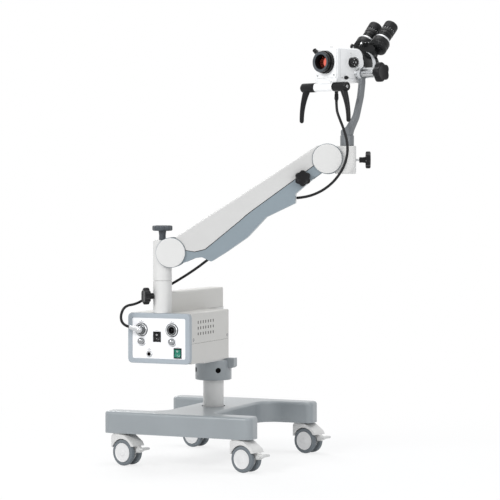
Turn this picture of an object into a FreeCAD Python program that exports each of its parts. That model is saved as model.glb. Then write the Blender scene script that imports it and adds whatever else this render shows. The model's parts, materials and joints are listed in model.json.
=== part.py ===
# Colposcope on a wheeled stand: base, column, light source box, balanced arm,
# yoke and binocular head. Units are millimetres, +Z is up, the control panel faces -Y.
import FreeCAD, Part
import math
import os
import re
from FreeCAD import Placement, Rotation, Vector

DOC = FreeCAD.newDocument("Colposcope")
SHEET = DOC.addObject("Spreadsheet::Sheet", "Sizes")


class Values:
    """Plain copies of the driving dimensions, for outlines and placements."""


V = Values()
NODES = []
SIZES = {
    # Where the column stands in the part's frame, so that the outline is centred.
    "column_x": -191.1, "column_y": 71.4,
    # Base: two bars along X, joined by a cross piece.
    "bar_length": 459, "bar_width": 64, "bar_spacing": 446, "base_height": 62, "cross_width": 150,
    "bar_corner": 20, "cross_flare": 58, "base_edge": 9,
    # Casters: twin wheels under a hood, with a brake pedal.
    "caster_spread": 370, "caster_inset": 26, "caster_turn": -15, "caster_trail": 25,
    "wheel_radius": 37.5, "wheel_width": 17, "wheel_gap": 14,
    "hub_radius": 27, "hub_dish": 2.5, "axle_radius": 5,
    "hood_clearance": 1.6, "fork_web": 10, "stem_radius": 8, "stem_length": 28,
    "plate_radius": 23, "base_clearance": 16, "pedal_length": 28,
    "pedal_width": 34, "pedal_wall": 7,
    "pedal_pin": 2.5, "pedal_reach": 45,
    # Column, collar and bracket.
    "column_radius": 30, "column_seat": 34, "foot_groove": 5, "foot_groove_depth": 6,
    "spigot_radius": 10, "spigot_length": 42,
    "collar_radius": 53, "collar_height": 58, "collar_bottom": 231,
    "lug_reach": 70, "lug_width": 24, "lug_height": 23,
    "clamp_hole": 8, "bracket_wall": 9, "bracket_radius": 37, "bracket_overlap": 46,
    # Light source box.
    "box_width": 189.5, "box_depth": 262, "box_height": 139,
    "box_bottom": 304, "box_gap": 99, "box_wall": 2,
    "seam_height": 55, "seam_gap": 0.6, "bezel_depth": 14, "bezel_border": 13, "bezel_corner": 12,
    "panel_wall": 3, "panel_recess": 2, "socket_gap": 14, "board_wall": 2,
    "port_radius": 19, "port_bore": 9.5, "port_left": -53.5, "port_right": 40, "port_height": 93,
    "jack_radius": 9, "jack_bore": 3.2, "jack_x": -29.5, "jack_height": 26,
    "rocker_width": 19, "rocker_height": 24, "rocker_depth": 14,
    "lamp_x": -5.5, "lamp_height": 74, "power_x": 57.5, "power_height": 30,
    "dimmer_radius": 9, "dimmer_length": 13, "dimmer_shaft": 3, "dimmer_height": 61,
    "vent_columns": 7, "vent_rows": 3, "vent_pitch": 16.5,
    "vent_drop": 16, "vent_width": 5, "vent_height": 8,
    # Beam and upright.
    "beam_half_width": 24, "beam_height": 57, "beam_reach": 336, "beam_tail": 15, "beam_edge": 5,
    "upright_radius": 26, "upright_top": 532, "spindle_radius": 15, "spindle_length": 57,
    "side_knob_height": 490, "side_knob_turn": 47,
    # Post head and lower pivot; arm frame: X along the arm, Z square to it.
    "arm_turn": 19, "arm_pitch": 30.9, "arm_length": 501,
    "post_top": 644, "pivot_offset": 26.5, "pivot_height": 610,
    "hub_disc": 35, "hub_half": 16, "pivot_radius": 8,
    "cap_radius": 40, "cap_wall": 7, "cap_edge": 1.5,
    "cheek_inner": 27, "cheek_wall": 3, "lobe_radius": 41.5, "cheek_gap": 0.3,
    "top_knob_radius": 28, "top_knob_wall": 15, "top_knob_stem": 10,
    "top_knob_gap": 25, "stud_radius": 5,
    "link_offset": 24, "link_pin": 4, "link_half_width": 3,
    "link_wall": 6, "link_side": 17.5, "link_eye": 6.3,
    "spring_radius": 13, "spring_start": 120, "spring_end": 395, "spring_pin": 4,
    "lock_knob_at": 417, "lock_knob_drop": -12, "lock_knob_radius": 22.5, "lock_knob_wall": 17,
    # End block and yoke.
    "block_start": 20, "block_end": 77, "block_half": 22, "block_low": -41, "block_high": 35,
    "yoke_offset": 52.6, "yoke_turn": -19.2, "yoke_spindle": 12,
    "yoke_depth": 45, "yoke_plug": 19, "yoke_plug_height": 29,
    "socket_knob_drop": -3, "socket_knob_radius": 23.5, "socket_knob_wall": 14,
    "tilt_height": 232, "tilt_ring": 16.5, "yoke_bar": 11.5, "yoke_bar_width": 18,
    "tilt_sleeve": 14.5, "tilt_sleeve_length": 45, "tilt_pin": 7,
    "tilt_knob_radius": 27.5, "tilt_knob_wall": 20,
    # Optical head: X to its side, Y to the rear, Z up, from the tilt axis.
    "head_half_width": 37, "head_front": 87, "head_rear": 25,
    "head_low": -25, "head_high": 67, "head_edge": 9,
    "head_crown": 24, "head_lip": 1.5, "head_lip_height": 8,
    "head_side_gap": 10.5, "head_boss": 13.5,
    "optic_height": 27.6, "barrel_radius": 30, "barrel_length": 13,
    "ring_radius": 28, "ring_length": 13,
    "lens_radius": 21, "lens_wall": 8, "barrel_seat": 10, "lever_length": 20, "lever_radius": 4.5,
    "drum_radius": 37.5, "drum_length": 40, "ring_silver": 36, "ring_silver_length": 16,
    "tube_slope": 47, "eye_y": 142, "eye_z": 123,
    "eye_half_spacing": 28, "prism_radius": 26, "prism_length": 34,
    "prism_start": -60, "prism_gap": 0.3, "knuckle_radius": 8,
    "knuckle_pin": 4, "bridge_wall": 12, "neck_radius": 28,
    "eye_radius": 19.5, "eye_length": 46, "eye_collar": 20.2,
    "eye_collar_length": 4, "eye_spigot": 14, "eye_bore": 12.5,
    "handle_y": -93, "handle_z": -40, "handle_bar": 11.5, "handle_bar_half": 32, "handle_hub": 12.5,
    "handle_hub_length": 48, "handle_spigot": 6, "grip_drop": 84,
    "grip_splay": 18, "grip_top": 9.5, "grip_tip": 6.5,
    "zoom_knob_y": -26, "zoom_knob_z": 27.9, "zoom_knob_radius": 15, "zoom_knob_wall": 12,
    "filter_knob_y": -52, "filter_knob_z": -14, "filter_knob_radius": 5, "filter_knob_wall": 7,
    # Light cable.
    "cable_radius": 3.7, "head_plug_y": -45, "head_plug_radius": 5, "head_plug_length": 46,
    # Fits between pieces that move or seat.
    "running_fit": 0.05, "face_gap": 0.3, "free_gap": 0.5,
}
for row, (name, value) in enumerate(SIZES.items(), 1):
    SHEET.set("A%d" % row, name)
    SHEET.set("B%d" % row, str(value))
    SHEET.setAlias("B%d" % row, name)
    setattr(V, name, float(value))
DOC.recompute()
ALIASES = set(vars(V))


def full(text):
    """Turn the plain names in an expression into spreadsheet references."""
    return re.sub(r"[a-z_]+", lambda m: "Sizes." + m.group(0) if m.group(0) in ALIASES else m.group(0),
                  str(text))


def bind(obj, **props):
    for prop, text in props.items():
        obj.setExpression(prop, full(text))
    return obj


def base_at(obj, at):
    for axis, text in zip("xyz", at):
        obj.setExpression("Placement.Base." + axis, full(text))
    return obj


TURNS = {"x": Rotation(Vector(0, 1, 0), 90), "y": Rotation(Vector(1, 0, 0), -90), "z": Rotation()}


def block(x0, x1, y0, y1, z0, z1):
    """A box between six bound coordinates."""
    obj = DOC.addObject("Part::Box", "Block")
    bind(obj, Length="(%s) - (%s)" % (x1, x0), Width="(%s) - (%s)" % (y1, y0),
         Height="(%s) - (%s)" % (z1, z0))
    return base_at(obj, (x0, y0, z0))


def rod(radius, length, at=(0, 0, 0), axis="z"):
    """A cylinder from a bound point along +X, +Y or +Z."""
    obj = DOC.addObject("Part::Cylinder", "Rod")
    bind(obj, Radius=radius, Height=length)
    obj.Placement = Placement(Vector(), TURNS[axis])
    return base_at(obj, at)


def taper(radius1, radius2, length, at=(0, 0, 0), axis="z"):
    obj = DOC.addObject("Part::Cone", "Taper")
    bind(obj, Radius1=radius1, Radius2=radius2, Height=length)
    obj.Placement = Placement(Vector(), TURNS[axis])
    return base_at(obj, at)


def fuse(*pieces):
    obj = DOC.addObject("Part::MultiFuse", "Fuse")
    obj.Shapes = list(pieces)
    obj.Refine = True
    return obj


def cut(body, *tools):
    obj = DOC.addObject("Part::Cut", "Cut")
    obj.Base = body
    obj.Tool = tools[0] if len(tools) == 1 else fuse(*tools)
    obj.Refine = True
    return obj


def common(first, second):
    obj = DOC.addObject("Part::Common", "Common")
    obj.Base = first
    obj.Tool = second
    return obj


def rounded(body, radius, pick):
    """Fillet the edges that pick() chooses from the finished shape."""
    DOC.recompute()
    obj = DOC.addObject("Part::Fillet", "Rounded")
    obj.Base = body
    obj.Edges = [(n + 1, radius, radius) for n, edge in enumerate(body.Shape.Edges) if pick(edge)]
    return obj


def outline(points, plane="xz"):
    """A closed sketch through (u, v, corner radius) points, with round corners as arcs."""
    sketch = DOC.addObject("Sketcher::SketchObject", "Outline")
    count = len(points)
    corners = []
    for n in range(count):
        before, here, after = points[n - 1], points[n], points[(n + 1) % count]
        p = Vector(here[0], here[1], 0)
        back = (Vector(before[0], before[1], 0) - p)
        ahead = (Vector(after[0], after[1], 0) - p)
        if here[2] <= 0:
            corners.append((p, None, p))
            continue
        back.normalize()
        ahead.normalize()
        half = back.getAngle(ahead) / 2
        reach = here[2] / math.tan(half)
        middle = (back + ahead).normalize() * (here[2] / math.sin(half) - here[2])
        corners.append((p + back * reach, p + middle, p + ahead * reach))
    for n in range(count):
        start, middle, end = corners[n]
        following = corners[(n + 1) % count][0]
        if middle is not None:
            sketch.addGeometry(Part.Arc(start, middle, end))
        if end.distanceToPoint(following) > 0.001:
            sketch.addGeometry(Part.LineSegment(end, following))
    if plane == "xz":
        sketch.Placement = Placement(Vector(), Rotation(Vector(1, 0, 0), 90))
    elif plane == "yz":
        sketch.Placement = Placement(Vector(), Rotation(Vector(1, 1, 1), 120))
    return sketch


def extrude(sketch, direction, low, high):
    """Extrude a sketch along a direction between two bound distances."""
    obj = DOC.addObject("Part::Extrusion", "Extrusion")
    obj.Base = sketch
    obj.DirMode = "Custom"
    obj.Dir = direction
    obj.Solid = True
    bind(obj, LengthFwd=high, LengthRev="-(%s)" % low)
    return obj


def slab(points, half):
    """A side outline in XZ, extruded the same distance to both sides."""
    return extrude(outline(points), Vector(0, 1, 0), "-(%s)" % half, half)


def turned(points, at=(0, 0, 0), axis="z"):
    """Revolve (radius, height, corner) points and stand the result on a bound point."""
    obj = DOC.addObject("Part::Revolution", "Turned")
    obj.Source = outline(points)
    obj.Axis = Vector(0, 0, 1)
    obj.Solid = True
    obj.Angle = 360
    holder = DOC.addObject("Part::Compound", "Holder")
    holder.Links = [obj]
    holder.Placement = Placement(Vector(), TURNS[axis])
    return base_at(holder, at)


def moved(body, placement):
    """A piece set down at a placement worked out from the named values."""
    holder = DOC.addObject("Part::Compound", "Moved")
    holder.Links = [body]
    holder.Placement = placement
    return holder


def node(name, body, frame):
    """Name a finished sub-part and put it in its place in the part's frame."""
    body.Label = name
    body.Placement = frame.multiply(body.Placement)
    NODES.append(body)
    return body


def about(axis, angle):
    return Placement(Vector(), Rotation(Vector(*axis), angle))


def shift(x, y, z):
    return Placement(Vector(x, y, z), Rotation())


# Frames of the moving groups.
STAND = shift(V.column_x, V.column_y, 0)
POST = STAND.multiply(shift(0, -V.beam_reach, 0)).multiply(about((0, 0, 1), V.arm_turn))
PIVOT = POST.multiply(shift(V.pivot_offset, 0, V.pivot_height))
ARM = PIVOT.multiply(about((0, 1, 0), -V.arm_pitch))
UPPER = ARM.multiply(shift(V.arm_length, 0, 0)).multiply(about((0, 1, 0), V.arm_pitch))
YOKE = UPPER.multiply(shift(V.yoke_offset, 0, 0)).multiply(about((0, 0, 1), V.yoke_turn - V.arm_turn))
HEAD = YOKE.multiply(shift(0, 0, V.tilt_height))


def star_knob(radius, wall, lobes, stem_radius, stem_length):
    """A lobed hand knob: head of the given wall on a round stem, from the origin along +Z."""
    head = rod(radius, wall, (0, 0, stem_length))
    scallops = []
    for n in range(lobes):
        turn = math.radians(360.0 * (n + 0.5) / lobes)
        scallop = rod("(%s) * 0.32" % radius, "(%s) + 2" % wall, (0, 0, "(%s) - 1" % stem_length))
        reach = "(%s) * 1.12 * " % radius
        base_at(scallop, (reach + "%.5f" % math.cos(turn), reach + "%.5f" % math.sin(turn),
                          "(%s) - 1" % stem_length))
        scallops.append(scallop)
    return fuse(cut(head, *scallops), rod(stem_radius, "(%s) + (%s) / 2" % (stem_length, wall)))


# Base casting
def base_casting():
    half = V.bar_length / 2
    outer = (V.bar_spacing + V.bar_width) / 2
    inner = (V.bar_spacing - V.bar_width) / 2
    cross = V.cross_width / 2
    corner, flare = V.bar_corner, V.cross_flare
    plan = [(half, outer, corner), (-half, outer, corner), (-half, inner, corner), (-cross, inner, flare),
            (-cross, -inner, flare), (-half, -inner, corner), (-half, -outer, corner),
            (half, -outer, corner),
            (half, -inner, corner), (cross, -inner, flare), (cross, inner, flare), (half, inner, corner)]
    low = V.wheel_radius * 2 + V.base_clearance
    top = low + V.base_height
    slab_h = extrude(outline(plan, "xy"), Vector(0, 0, 1), "wheel_radius * 2 + base_clearance",
                     "wheel_radius * 2 + base_clearance + base_height")
    casting = rounded(slab_h, V.base_edge, lambda e: abs(e.BoundBox.ZMin - top) < 0.01)
    seat = "wheel_radius * 2 + base_clearance + base_height - "
    holes = [rod("column_radius", "column_seat + 1", (0, 0, seat + "column_seat")),
             rod("column_radius + foot_groove", "foot_groove_depth + 1",
                 (0, 0, seat + "foot_groove_depth"))]
    for sx in (-1, 1):
        for sy in (-1, 1):
            at = ("%d * caster_spread / 2" % sx,
                  "%d * (bar_spacing / 2 + bar_width / 2 - caster_inset)" % sy,
                  "wheel_radius * 2 + base_clearance - 1")
            holes.append(rod("stem_radius + running_fit", "stem_length + 2", at))
    return cut(casting, *holes)


def caster_fork():
    axle = ("caster_trail", "wheel_radius")
    half = "wheel_gap / 2 + wheel_width"
    hood = slab([(V.caster_trail - 40.5, 50, 0), (V.caster_trail - 40.5, 88, 8),
                 (V.caster_trail + 6, 88, 22),
                 (V.caster_trail + 37, 68, 14), (V.caster_trail + 43, 57, 1), (V.caster_trail + 24, 57, 0),
                 (V.caster_trail - 24, 50, 0)], half)
    hood = cut(hood, rod("wheel_radius + hood_clearance", "2 * (%s) + 2" % half,
                         (axle[0], "-(%s) - 1" % half, axle[1]), "y"))
    web = slab([(V.caster_trail - 34, 80, 0), (V.caster_trail - 36, 55, 8), (V.caster_trail - 12, 26, 10),
                (V.caster_trail + 12, 26, 10), (V.caster_trail + 34, 38, 4),
                (V.caster_trail + V.pedal_reach + 7, 38, 6),
                (V.caster_trail + V.pedal_reach + 7, 54, 6), (V.caster_trail + 33, 62, 4),
                (V.caster_trail + 20, 80, 0)],
               "fork_web / 2")
    plate_top = "wheel_radius * 2 + base_clearance - face_gap"
    plate = rod("plate_radius", "base_clearance - hood_clearance - face_gap - 2",
                (0, 0, "wheel_radius * 2 + hood_clearance + 2"))
    stem = rod("stem_radius", "stem_length + 4", (0, 0, plate_top + " - 4"))
    return cut(fuse(hood, web, plate, stem),
               rod("axle_radius + running_fit", 80, (axle[0], -40, axle[1]), "y"),
               rod("pedal_pin + running_fit", 80, ("caster_trail + pedal_reach", -40, 46), "y"))


def caster_wheels():
    w, r, hub, dish = V.wheel_width, V.wheel_radius, V.hub_radius, V.hub_dish
    shape = [(0, 0, 0), (hub, 0, 0), (r - 3, 0, 0), (r, 3, 2.5), (r, w - 3, 2.5), (r - 3, w, 0),
             (hub, w, 0),
             (hub - 3, w - dish, 0), (9, w - dish, 0), (8, w, 0), (0, w, 0)]
    outer = turned(shape, ("caster_trail", "wheel_gap / 2", "wheel_radius"), "y")
    inner = turned(shape)
    inner = moved(inner, Placement(Vector(V.caster_trail, -V.wheel_gap / 2, V.wheel_radius),
                                   Rotation(Vector(1, 0, 0), 90)))
    return fuse(outer, inner, rod("axle_radius", "wheel_gap + 2",
                                  ("caster_trail", "-wheel_gap / 2 - 1", "wheel_radius"), "y"))


def caster_pedal():
    x, z = V.caster_trail + V.pedal_reach, 46
    arm = slab([(x - 5, z - 5, 4), (x + 6, z - 5, 4), (x + 16, z + 1, 3), (x + 16, z + 7, 3),
                (x - 5, z + 5, 4)],
               "fork_web / 2 + face_gap + 4")
    slot = block("caster_trail + pedal_reach - 20", "caster_trail + pedal_reach + 9",
                 "-fork_web / 2 - face_gap",
                 "fork_web / 2 + face_gap", 30, 60)
    pad = rounded(block("caster_trail + pedal_reach + 9.5",
                        "caster_trail + pedal_reach + 9.5 + pedal_length * 0.6",
                        "-pedal_width / 2", "pedal_width / 2", 47, "47 + pedal_wall"), 3, lambda e: True)
    return fuse(cut(arm, slot), pad, rod("pedal_pin", "fork_web + 2",
                                         ("caster_trail + pedal_reach", "-fork_web / 2 - 1", 46), "y"))


def casters():
    for name, sx, sy in (("front_left", -1, -1), ("front_right", 1, -1), ("rear_left", -1, 1),
                         ("rear_right", 1, 1)):
        y = sy * (V.bar_spacing / 2 + V.bar_width / 2 - V.caster_inset)
        frame = STAND.multiply(shift(sx * V.caster_spread / 2, y,
                                     0)).multiply(about((0, 0, 1), V.caster_turn))
        node("caster_fork_" + name, caster_fork(), frame)
        node("caster_wheels_" + name, caster_wheels(), frame)
        node("caster_pedal_" + name, caster_pedal(), frame)


def column_tube():
    foot = "wheel_radius * 2 + base_clearance + base_height - column_seat"
    tube = rod("column_radius", "box_bottom + box_height - face_gap - (%s)" % foot, (0, 0, foot))
    spigot = rod("spigot_radius", "spigot_length + 5", (0, 0, "box_bottom + box_height - face_gap - 5"))
    return fuse(tube, spigot)


def column_collar():
    top = "collar_bottom + collar_height"
    ring = rounded(rod("collar_radius", "collar_height", (0, 0, "collar_bottom")), 2.5,
                   lambda e: e.Length > 100)
    lug = block("collar_radius - 12", "lug_reach", "-lug_width / 2", "lug_width / 2", top + " - lug_height",
                top + " + 6")
    reach, low = V.lug_reach, V.collar_bottom + V.collar_height - V.lug_height
    lug = rounded(lug, 9, lambda e: e.BoundBox.XMin > reach - 0.1 and e.BoundBox.ZMax < low + 0.1)
    bores = [rod("column_radius + running_fit", "collar_height + 20", (0, 0, "collar_bottom - 5")),
             rod("clamp_hole", "collar_radius + 5", (0, 0, "collar_bottom + collar_height / 2"), "x")]
    bores[1].Placement = Placement(Vector(0, 0, V.collar_bottom + V.collar_height / 2),
                                   Rotation(Vector(0, 0, 1), -50).multiply(TURNS["x"]))
    side = rod("clamp_hole", "collar_radius + 5", (0, 0, "collar_bottom + collar_height / 2"), "x")
    side.Placement = Placement(Vector(0, 0, V.collar_bottom + V.collar_height / 2),
                               Rotation(Vector(0, 0, 1), -140).multiply(TURNS["x"]))
    return cut(fuse(ring, lug), *(bores + [side]))


def support_bracket():
    low = "collar_bottom + collar_height"
    plate = fuse(rod("bracket_radius", "bracket_wall", (0, 0, low)),
                 block("-bracket_radius", "bracket_radius", "-box_gap - bracket_overlap", 0, low,
                       low + " + bracket_wall"))
    pad = block("-bracket_radius", "bracket_radius", "-box_gap - bracket_overlap", "-box_gap - 6",
                low + " + bracket_wall - 1", "box_bottom")
    return cut(fuse(plate, pad), rod("column_radius + running_fit", 40, (0, 0, low + " - 10")))


def box_front():
    return -(V.box_gap + V.box_depth)


def box_chassis():
    y0, y1 = "-(box_gap + box_depth) + bezel_depth", "-box_gap"
    outer = block("-box_width / 2 + 1.5", "box_width / 2 - 1.5", y0, y1, "box_bottom",
                  "box_bottom + seam_height")
    inner = block("-box_width / 2 + 1.5 + box_wall", "box_width / 2 - 1.5 - box_wall", y0 + " - 1",
                  y1 + " - box_wall", "box_bottom + box_wall", "box_bottom + seam_height + 1")
    return cut(outer, inner)


def box_cover():
    y0, y1 = "-(box_gap + box_depth) + bezel_depth", "-box_gap"
    low = "box_bottom + seam_height + seam_gap"
    high = V.box_bottom + V.box_height
    outer = block("-box_width / 2 + 1.5", "box_width / 2 - 1.5", y0, y1, low, "box_bottom + box_height")
    outer = rounded(outer, 4, lambda e: e.BoundBox.ZMin > high - 0.1
                    and e.BoundBox.YMax - e.BoundBox.YMin > 50)
    inner = block("-box_width / 2 + 1.5 + box_wall", "box_width / 2 - 1.5 - box_wall", y0 + " - 1",
                  y1 + " - box_wall", low + " - 1", "box_bottom + box_height - box_wall")
    vents = []
    for column in range(int(V.vent_columns)):
        for row in range(int(V.vent_rows)):
            y = "-(box_gap + box_depth) + 56 + vent_pitch * %d" % column
            z = "box_bottom + box_height - 30 - vent_drop * %d" % row
            vents.append(block("-box_width / 2 - 1", "box_width / 2 + 1", y, y + " + vent_width", z,
                               z + " + vent_height"))
    return cut(outer, inner, *vents)


def panel_frame(wider, y0, y1):
    """A rounded plate in the XZ plane of the box front, between two Y places."""
    half = V.box_width / 2 - wider
    low, high = V.box_bottom + wider, V.box_bottom + V.box_height - wider
    r = max(V.bezel_corner - wider, 5)
    points = [(-half, low, r), (half, low, r), (half, high, r), (-half, high, r)]
    return extrude(outline(points), Vector(0, 1, 0), y0, y1)


def front_bezel():
    front = "-(box_gap + box_depth)"
    ring = panel_frame(0, front, front + " + bezel_depth")
    y = box_front()
    ring = rounded(ring, 3, lambda e: e.BoundBox.YMax < y + 0.1)
    hole = panel_frame(V.bezel_border, front + " - 1", front + " + bezel_depth - 4")
    inner = panel_frame(V.bezel_border + 3, front + " - 1", front + " + bezel_depth + 1")
    return cut(ring, hole, inner)


def panel_holes(extra):
    """Rods and blocks through the panel for sockets, knobs and switches."""
    front, low = "-(box_gap + box_depth) - 2", "box_bottom + "
    tools = []
    for x in ("port_left", "port_right"):
        tools.append(rod("port_radius + %s" % extra, 30, (x, front, low + "port_height"), "y"))
        tools.append(rod("dimmer_shaft + 1 + %s" % extra, 30, (x, front, low + "dimmer_height"), "y"))
    tools.append(rod("jack_radius + %s" % extra, 30, ("jack_x", front, low + "jack_height"), "y"))
    for x, z in (("lamp_x", "lamp_height"), ("power_x", "power_height")):
        tools.append(block("%s - rocker_width / 2 - 2 - %s" % (x, extra),
                           "%s + rocker_width / 2 + 2 + %s" % (x, extra), front,
                           front + " + 30", low + "%s - rocker_height / 2 - 2 - %s" % (z, extra),
                           low + "%s + rocker_height / 2 + 2 + %s" % (z, extra)))
    return tools


def front_panel():
    front = "-(box_gap + box_depth)"
    plate = panel_frame(V.bezel_border + 0.2, front + " + panel_recess",
                        front + " + panel_recess + panel_wall")
    return cut(plate, *panel_holes(0.2))


def panel_sockets():
    front, low = "-(box_gap + box_depth)", "box_bottom + "
    board_y = front + " + bezel_depth - 4 + socket_gap"
    half = V.box_width / 2 - V.bezel_border - 8
    board = block(-half, half, board_y, board_y + " + board_wall", low + "18", low + "box_height - 18")
    posts, holes = [], []
    for x, radius, bore, z in (("port_left", "port_radius", "port_bore", "port_height"),
                               ("port_right", "port_radius", "port_bore", "port_height"),
                               ("jack_x", "jack_radius", "jack_bore", "jack_height")):
        posts.append(rod(radius, "bezel_depth - 4 + socket_gap + 2 + board_wall / 2",
                         (x, front + " - 2", low + z), "y"))
        holes.append(rod(bore, 18, (x, front + " - 3", low + z), "y"))
    for x in ("port_left", "port_right"):
        posts.append(rod("dimmer_shaft + 5", "socket_gap - 5",
                         (x, board_y + " - socket_gap + 5", low + "dimmer_height"), "y"))
        holes.append(rod("dimmer_shaft + running_fit", "socket_gap - 4",
                         (x, board_y + " - socket_gap + 4", low + "dimmer_height"), "y"))
    for x, z in (("lamp_x", "lamp_height"), ("power_x", "power_height")):
        grow = "rocker_width / 2 + "
        tall = "rocker_height / 2 + "
        posts.append(block(x + " - rocker_width / 2 - 2", x + " + " + grow + "2", front,
                           board_y + " + board_wall / 2",
                           low + z + " - rocker_height / 2 - 2", low + z + " + " + tall + "2"))
        holes.append(block(x + " - rocker_width / 2 - 0.4", x + " + " + grow + "0.4", front + " - 1",
                           front + " + rocker_depth + 4",
                           low + z + " - rocker_height / 2 - 0.6", low + z + " + " + tall + "0.6"))
        holes.append(rod("1.5 + running_fit", "rocker_width + 3",
                         (x + " - rocker_width / 2 - 1.5", front + " + 4",
                                                                   low + z), "x"))
    return cut(fuse(board, *posts), *holes)


def rocker_switch(x, z):
    tall, wide, front = V.rocker_height / 2, V.rocker_width / 2, box_front()
    points = [(-2.6, -tall + 1.4), (0.6, 0), (-1.4, tall - 1.4), (9, tall - 4.5), (9, -tall + 4.5)]
    wire = [Vector(-wide, front + p[0], p[1]) for p in points]
    sketch = DOC.addObject("Part::Polygon", "RockerSide")
    sketch.Nodes = wire
    sketch.Close = True
    cap = DOC.addObject("Part::Extrusion", "RockerCap")
    cap.Base = sketch
    cap.DirMode = "Custom"
    cap.Dir = Vector(1, 0, 0)
    cap.Solid = True
    bind(cap, LengthFwd="rocker_width")
    cap = moved(cap, shift(getattr(V, x), 0, V.box_bottom + getattr(V, z)))
    pin = rod(1.5, "rocker_width + 2", (x + " - rocker_width / 2 - 1", "-(box_gap + box_depth) + 4",
                                        "box_bottom + " + z), "x")
    return fuse(cap, pin)


def dimmer_knob(x):
    front, z = "-(box_gap + box_depth)", "box_bottom + dimmer_height"
    r, length = V.dimmer_radius, V.dimmer_length
    knob = turned([(0, 0, 0), (r, 0, 0), (r, 2, 0), (r - 1, 2.6, 0), (r - 1, length - 2, 0),
                   (r - 2, length, 0), (0, length, 0)])
    knob = moved(knob, Placement(Vector(getattr(V, x), box_front() + V.panel_recess - V.face_gap,
                                        V.box_bottom + V.dimmer_height), Rotation(Vector(1, 0, 0), 90)))
    shaft = rod("dimmer_shaft", "socket_gap + 2", (x, front + " + panel_recess - 1", z), "y")
    return fuse(knob, shaft)


def swing_beam():
    low = "box_bottom + box_height"
    top = V.box_bottom + V.box_height + V.beam_height
    beam = block("-beam_half_width", "beam_half_width", "-beam_reach", "beam_tail", low,
                 low + " + beam_height")
    beam = rounded(beam, V.beam_edge, lambda e: e.BoundBox.ZMin > top - 0.1
                   and e.BoundBox.YMax - e.BoundBox.YMin > 50)
    return cut(beam, rod("upright_radius", 100, (0, "-beam_reach", low + " - 1")),
               rod("spigot_radius + running_fit", "spigot_length + 1", (0, 0, low + " - 1")))


def upright_tube():
    low = "box_bottom + box_height"
    tube = rod("upright_radius", "upright_top - (%s)" % low, (0, "-beam_reach", low))
    tube = rounded(tube, 1.2, lambda e: e.Length > 50)
    depth = rod("spindle_radius + running_fit", "spindle_length + 1.5",
                (0, "-beam_reach", "upright_top - spindle_length - 0.5"))
    turn = Rotation(Vector(0, 0, 1), -90 - V.side_knob_turn)
    screw = rod("stud_radius + running_fit", "upright_radius + 5")
    screw = moved(screw, Placement(Vector(0, -V.beam_reach, V.side_knob_height), turn.multiply(TURNS["x"])))
    return cut(tube, depth, screw)


def upright_knob():
    head = star_knob("top_knob_radius * 0.84", "17", 6, "9", "12")
    stud = rod("stud_radius", "upright_radius - spindle_radius - 1",
               (0, 0, "-(upright_radius - spindle_radius - 1)"))
    return fuse(moved(head, shift(0, 0, V.free_gap)), rod("stud_radius", 4, (0, 0, -1)), stud)


def post_head():
    tube = rod("upright_radius", "post_top - upright_top - face_gap", (0, 0, "upright_top + face_gap"))
    tube = rounded(tube, 2, lambda e: e.Length > 50)
    spindle = rod("spindle_radius", "spindle_length + 5", (0, 0, "upright_top + face_gap - spindle_length"))
    hub = rod("hub_disc", "2 * hub_half", ("pivot_offset", "-hub_half", "pivot_height"), "y")
    boss = rod("link_pin", "link_side + link_wall + 1 - hub_half + 4",
               ("pivot_offset", "-(link_side + link_wall + 1)", "pivot_height + link_offset"), "y")
    rooms = [rod("pivot_radius + 4", 20, ("pivot_offset", at, "pivot_height"), "y")
             for at in ("hub_half", "-hub_half - 20")]
    return cut(fuse(tube, spindle, hub, boss), *rooms,
               rod("pivot_radius", 60, ("pivot_offset", -30, "pivot_height"), "y"),
               rod("stud_radius + running_fit", 45, (0, 0, "post_top - 44")))


def pivot_pin():
    """A pivot pin with a spacer at each side and a round cap outside the cheeks."""
    outer = "cheek_inner + cheek_wall + cheek_gap"
    pin = rod("pivot_radius", "2 * (%s)" % outer, (0, "-(%s)" % outer, 0), "y")
    spacers = [rod("pivot_radius + 4", "cheek_inner - cheek_gap - hub_half", (0, at, 0), "y")
               for at in ("hub_half", "-(cheek_inner - cheek_gap)")]
    caps = []
    for side in (1, -1):
        r, w, e = V.cap_radius, V.cap_wall, V.cap_edge
        cap = turned([(0, 0, 0), (r, 0, 0), (r, w, e), (0, w, 0)])
        turn = Rotation(Vector(1, 0, 0), -90 * side)
        caps.append(moved(cap, Placement(Vector(0, side * (V.cheek_inner + V.cheek_wall + V.cheek_gap), 0),
                                         turn)))
    return fuse(pin, *(spacers + caps))


# Arm: outlines in the arm's own frame, from the lower pivot along +X.
def lobes(radius, half):
    return [rod(radius, "2 * (%s)" % half, (x, "-(%s)" % half, 0), "y") for x in ("0", "arm_length")]


def channel_outline(lift):
    """Lower side of the arm, moved up by lift for the hollow inside."""
    end = V.arm_length
    low = [(8, -30, 0), (19, -43, 0), (50, -47, 12), (68, -55, 6), (83, -78, 4), (130, -77, 40),
           (202, -72, 60), (275, -51, 0),
           (363, -59, 2), (377, -37, 2), (432, -28, 20), (end - 30, -24, 0)]
    high = [(end - 30, 4, 0), (255, -16, 60), (207, -23, 40), (86, -41, 22), (58, -32, 10), (30, -8, 0)]
    if lift:
        high = [(end - 70, 60, 0), (30, 60, 0)]
        low = [(19, -43 + lift, 0), (50, -47 + lift, 10), (70, -55 + lift, 4), (86, -78 + lift, 3),
               (130, -77 + lift, 40),
               (202, -72 + lift, 60), (275, -51 + lift, 0), (361, -59 + lift, 1), (374, -37 + lift, 1),
               (432, -28 + lift, 20), (end - 30, -24 + lift, 0)]
    return [(x, z, r) for x, z, r in low + high]


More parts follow.
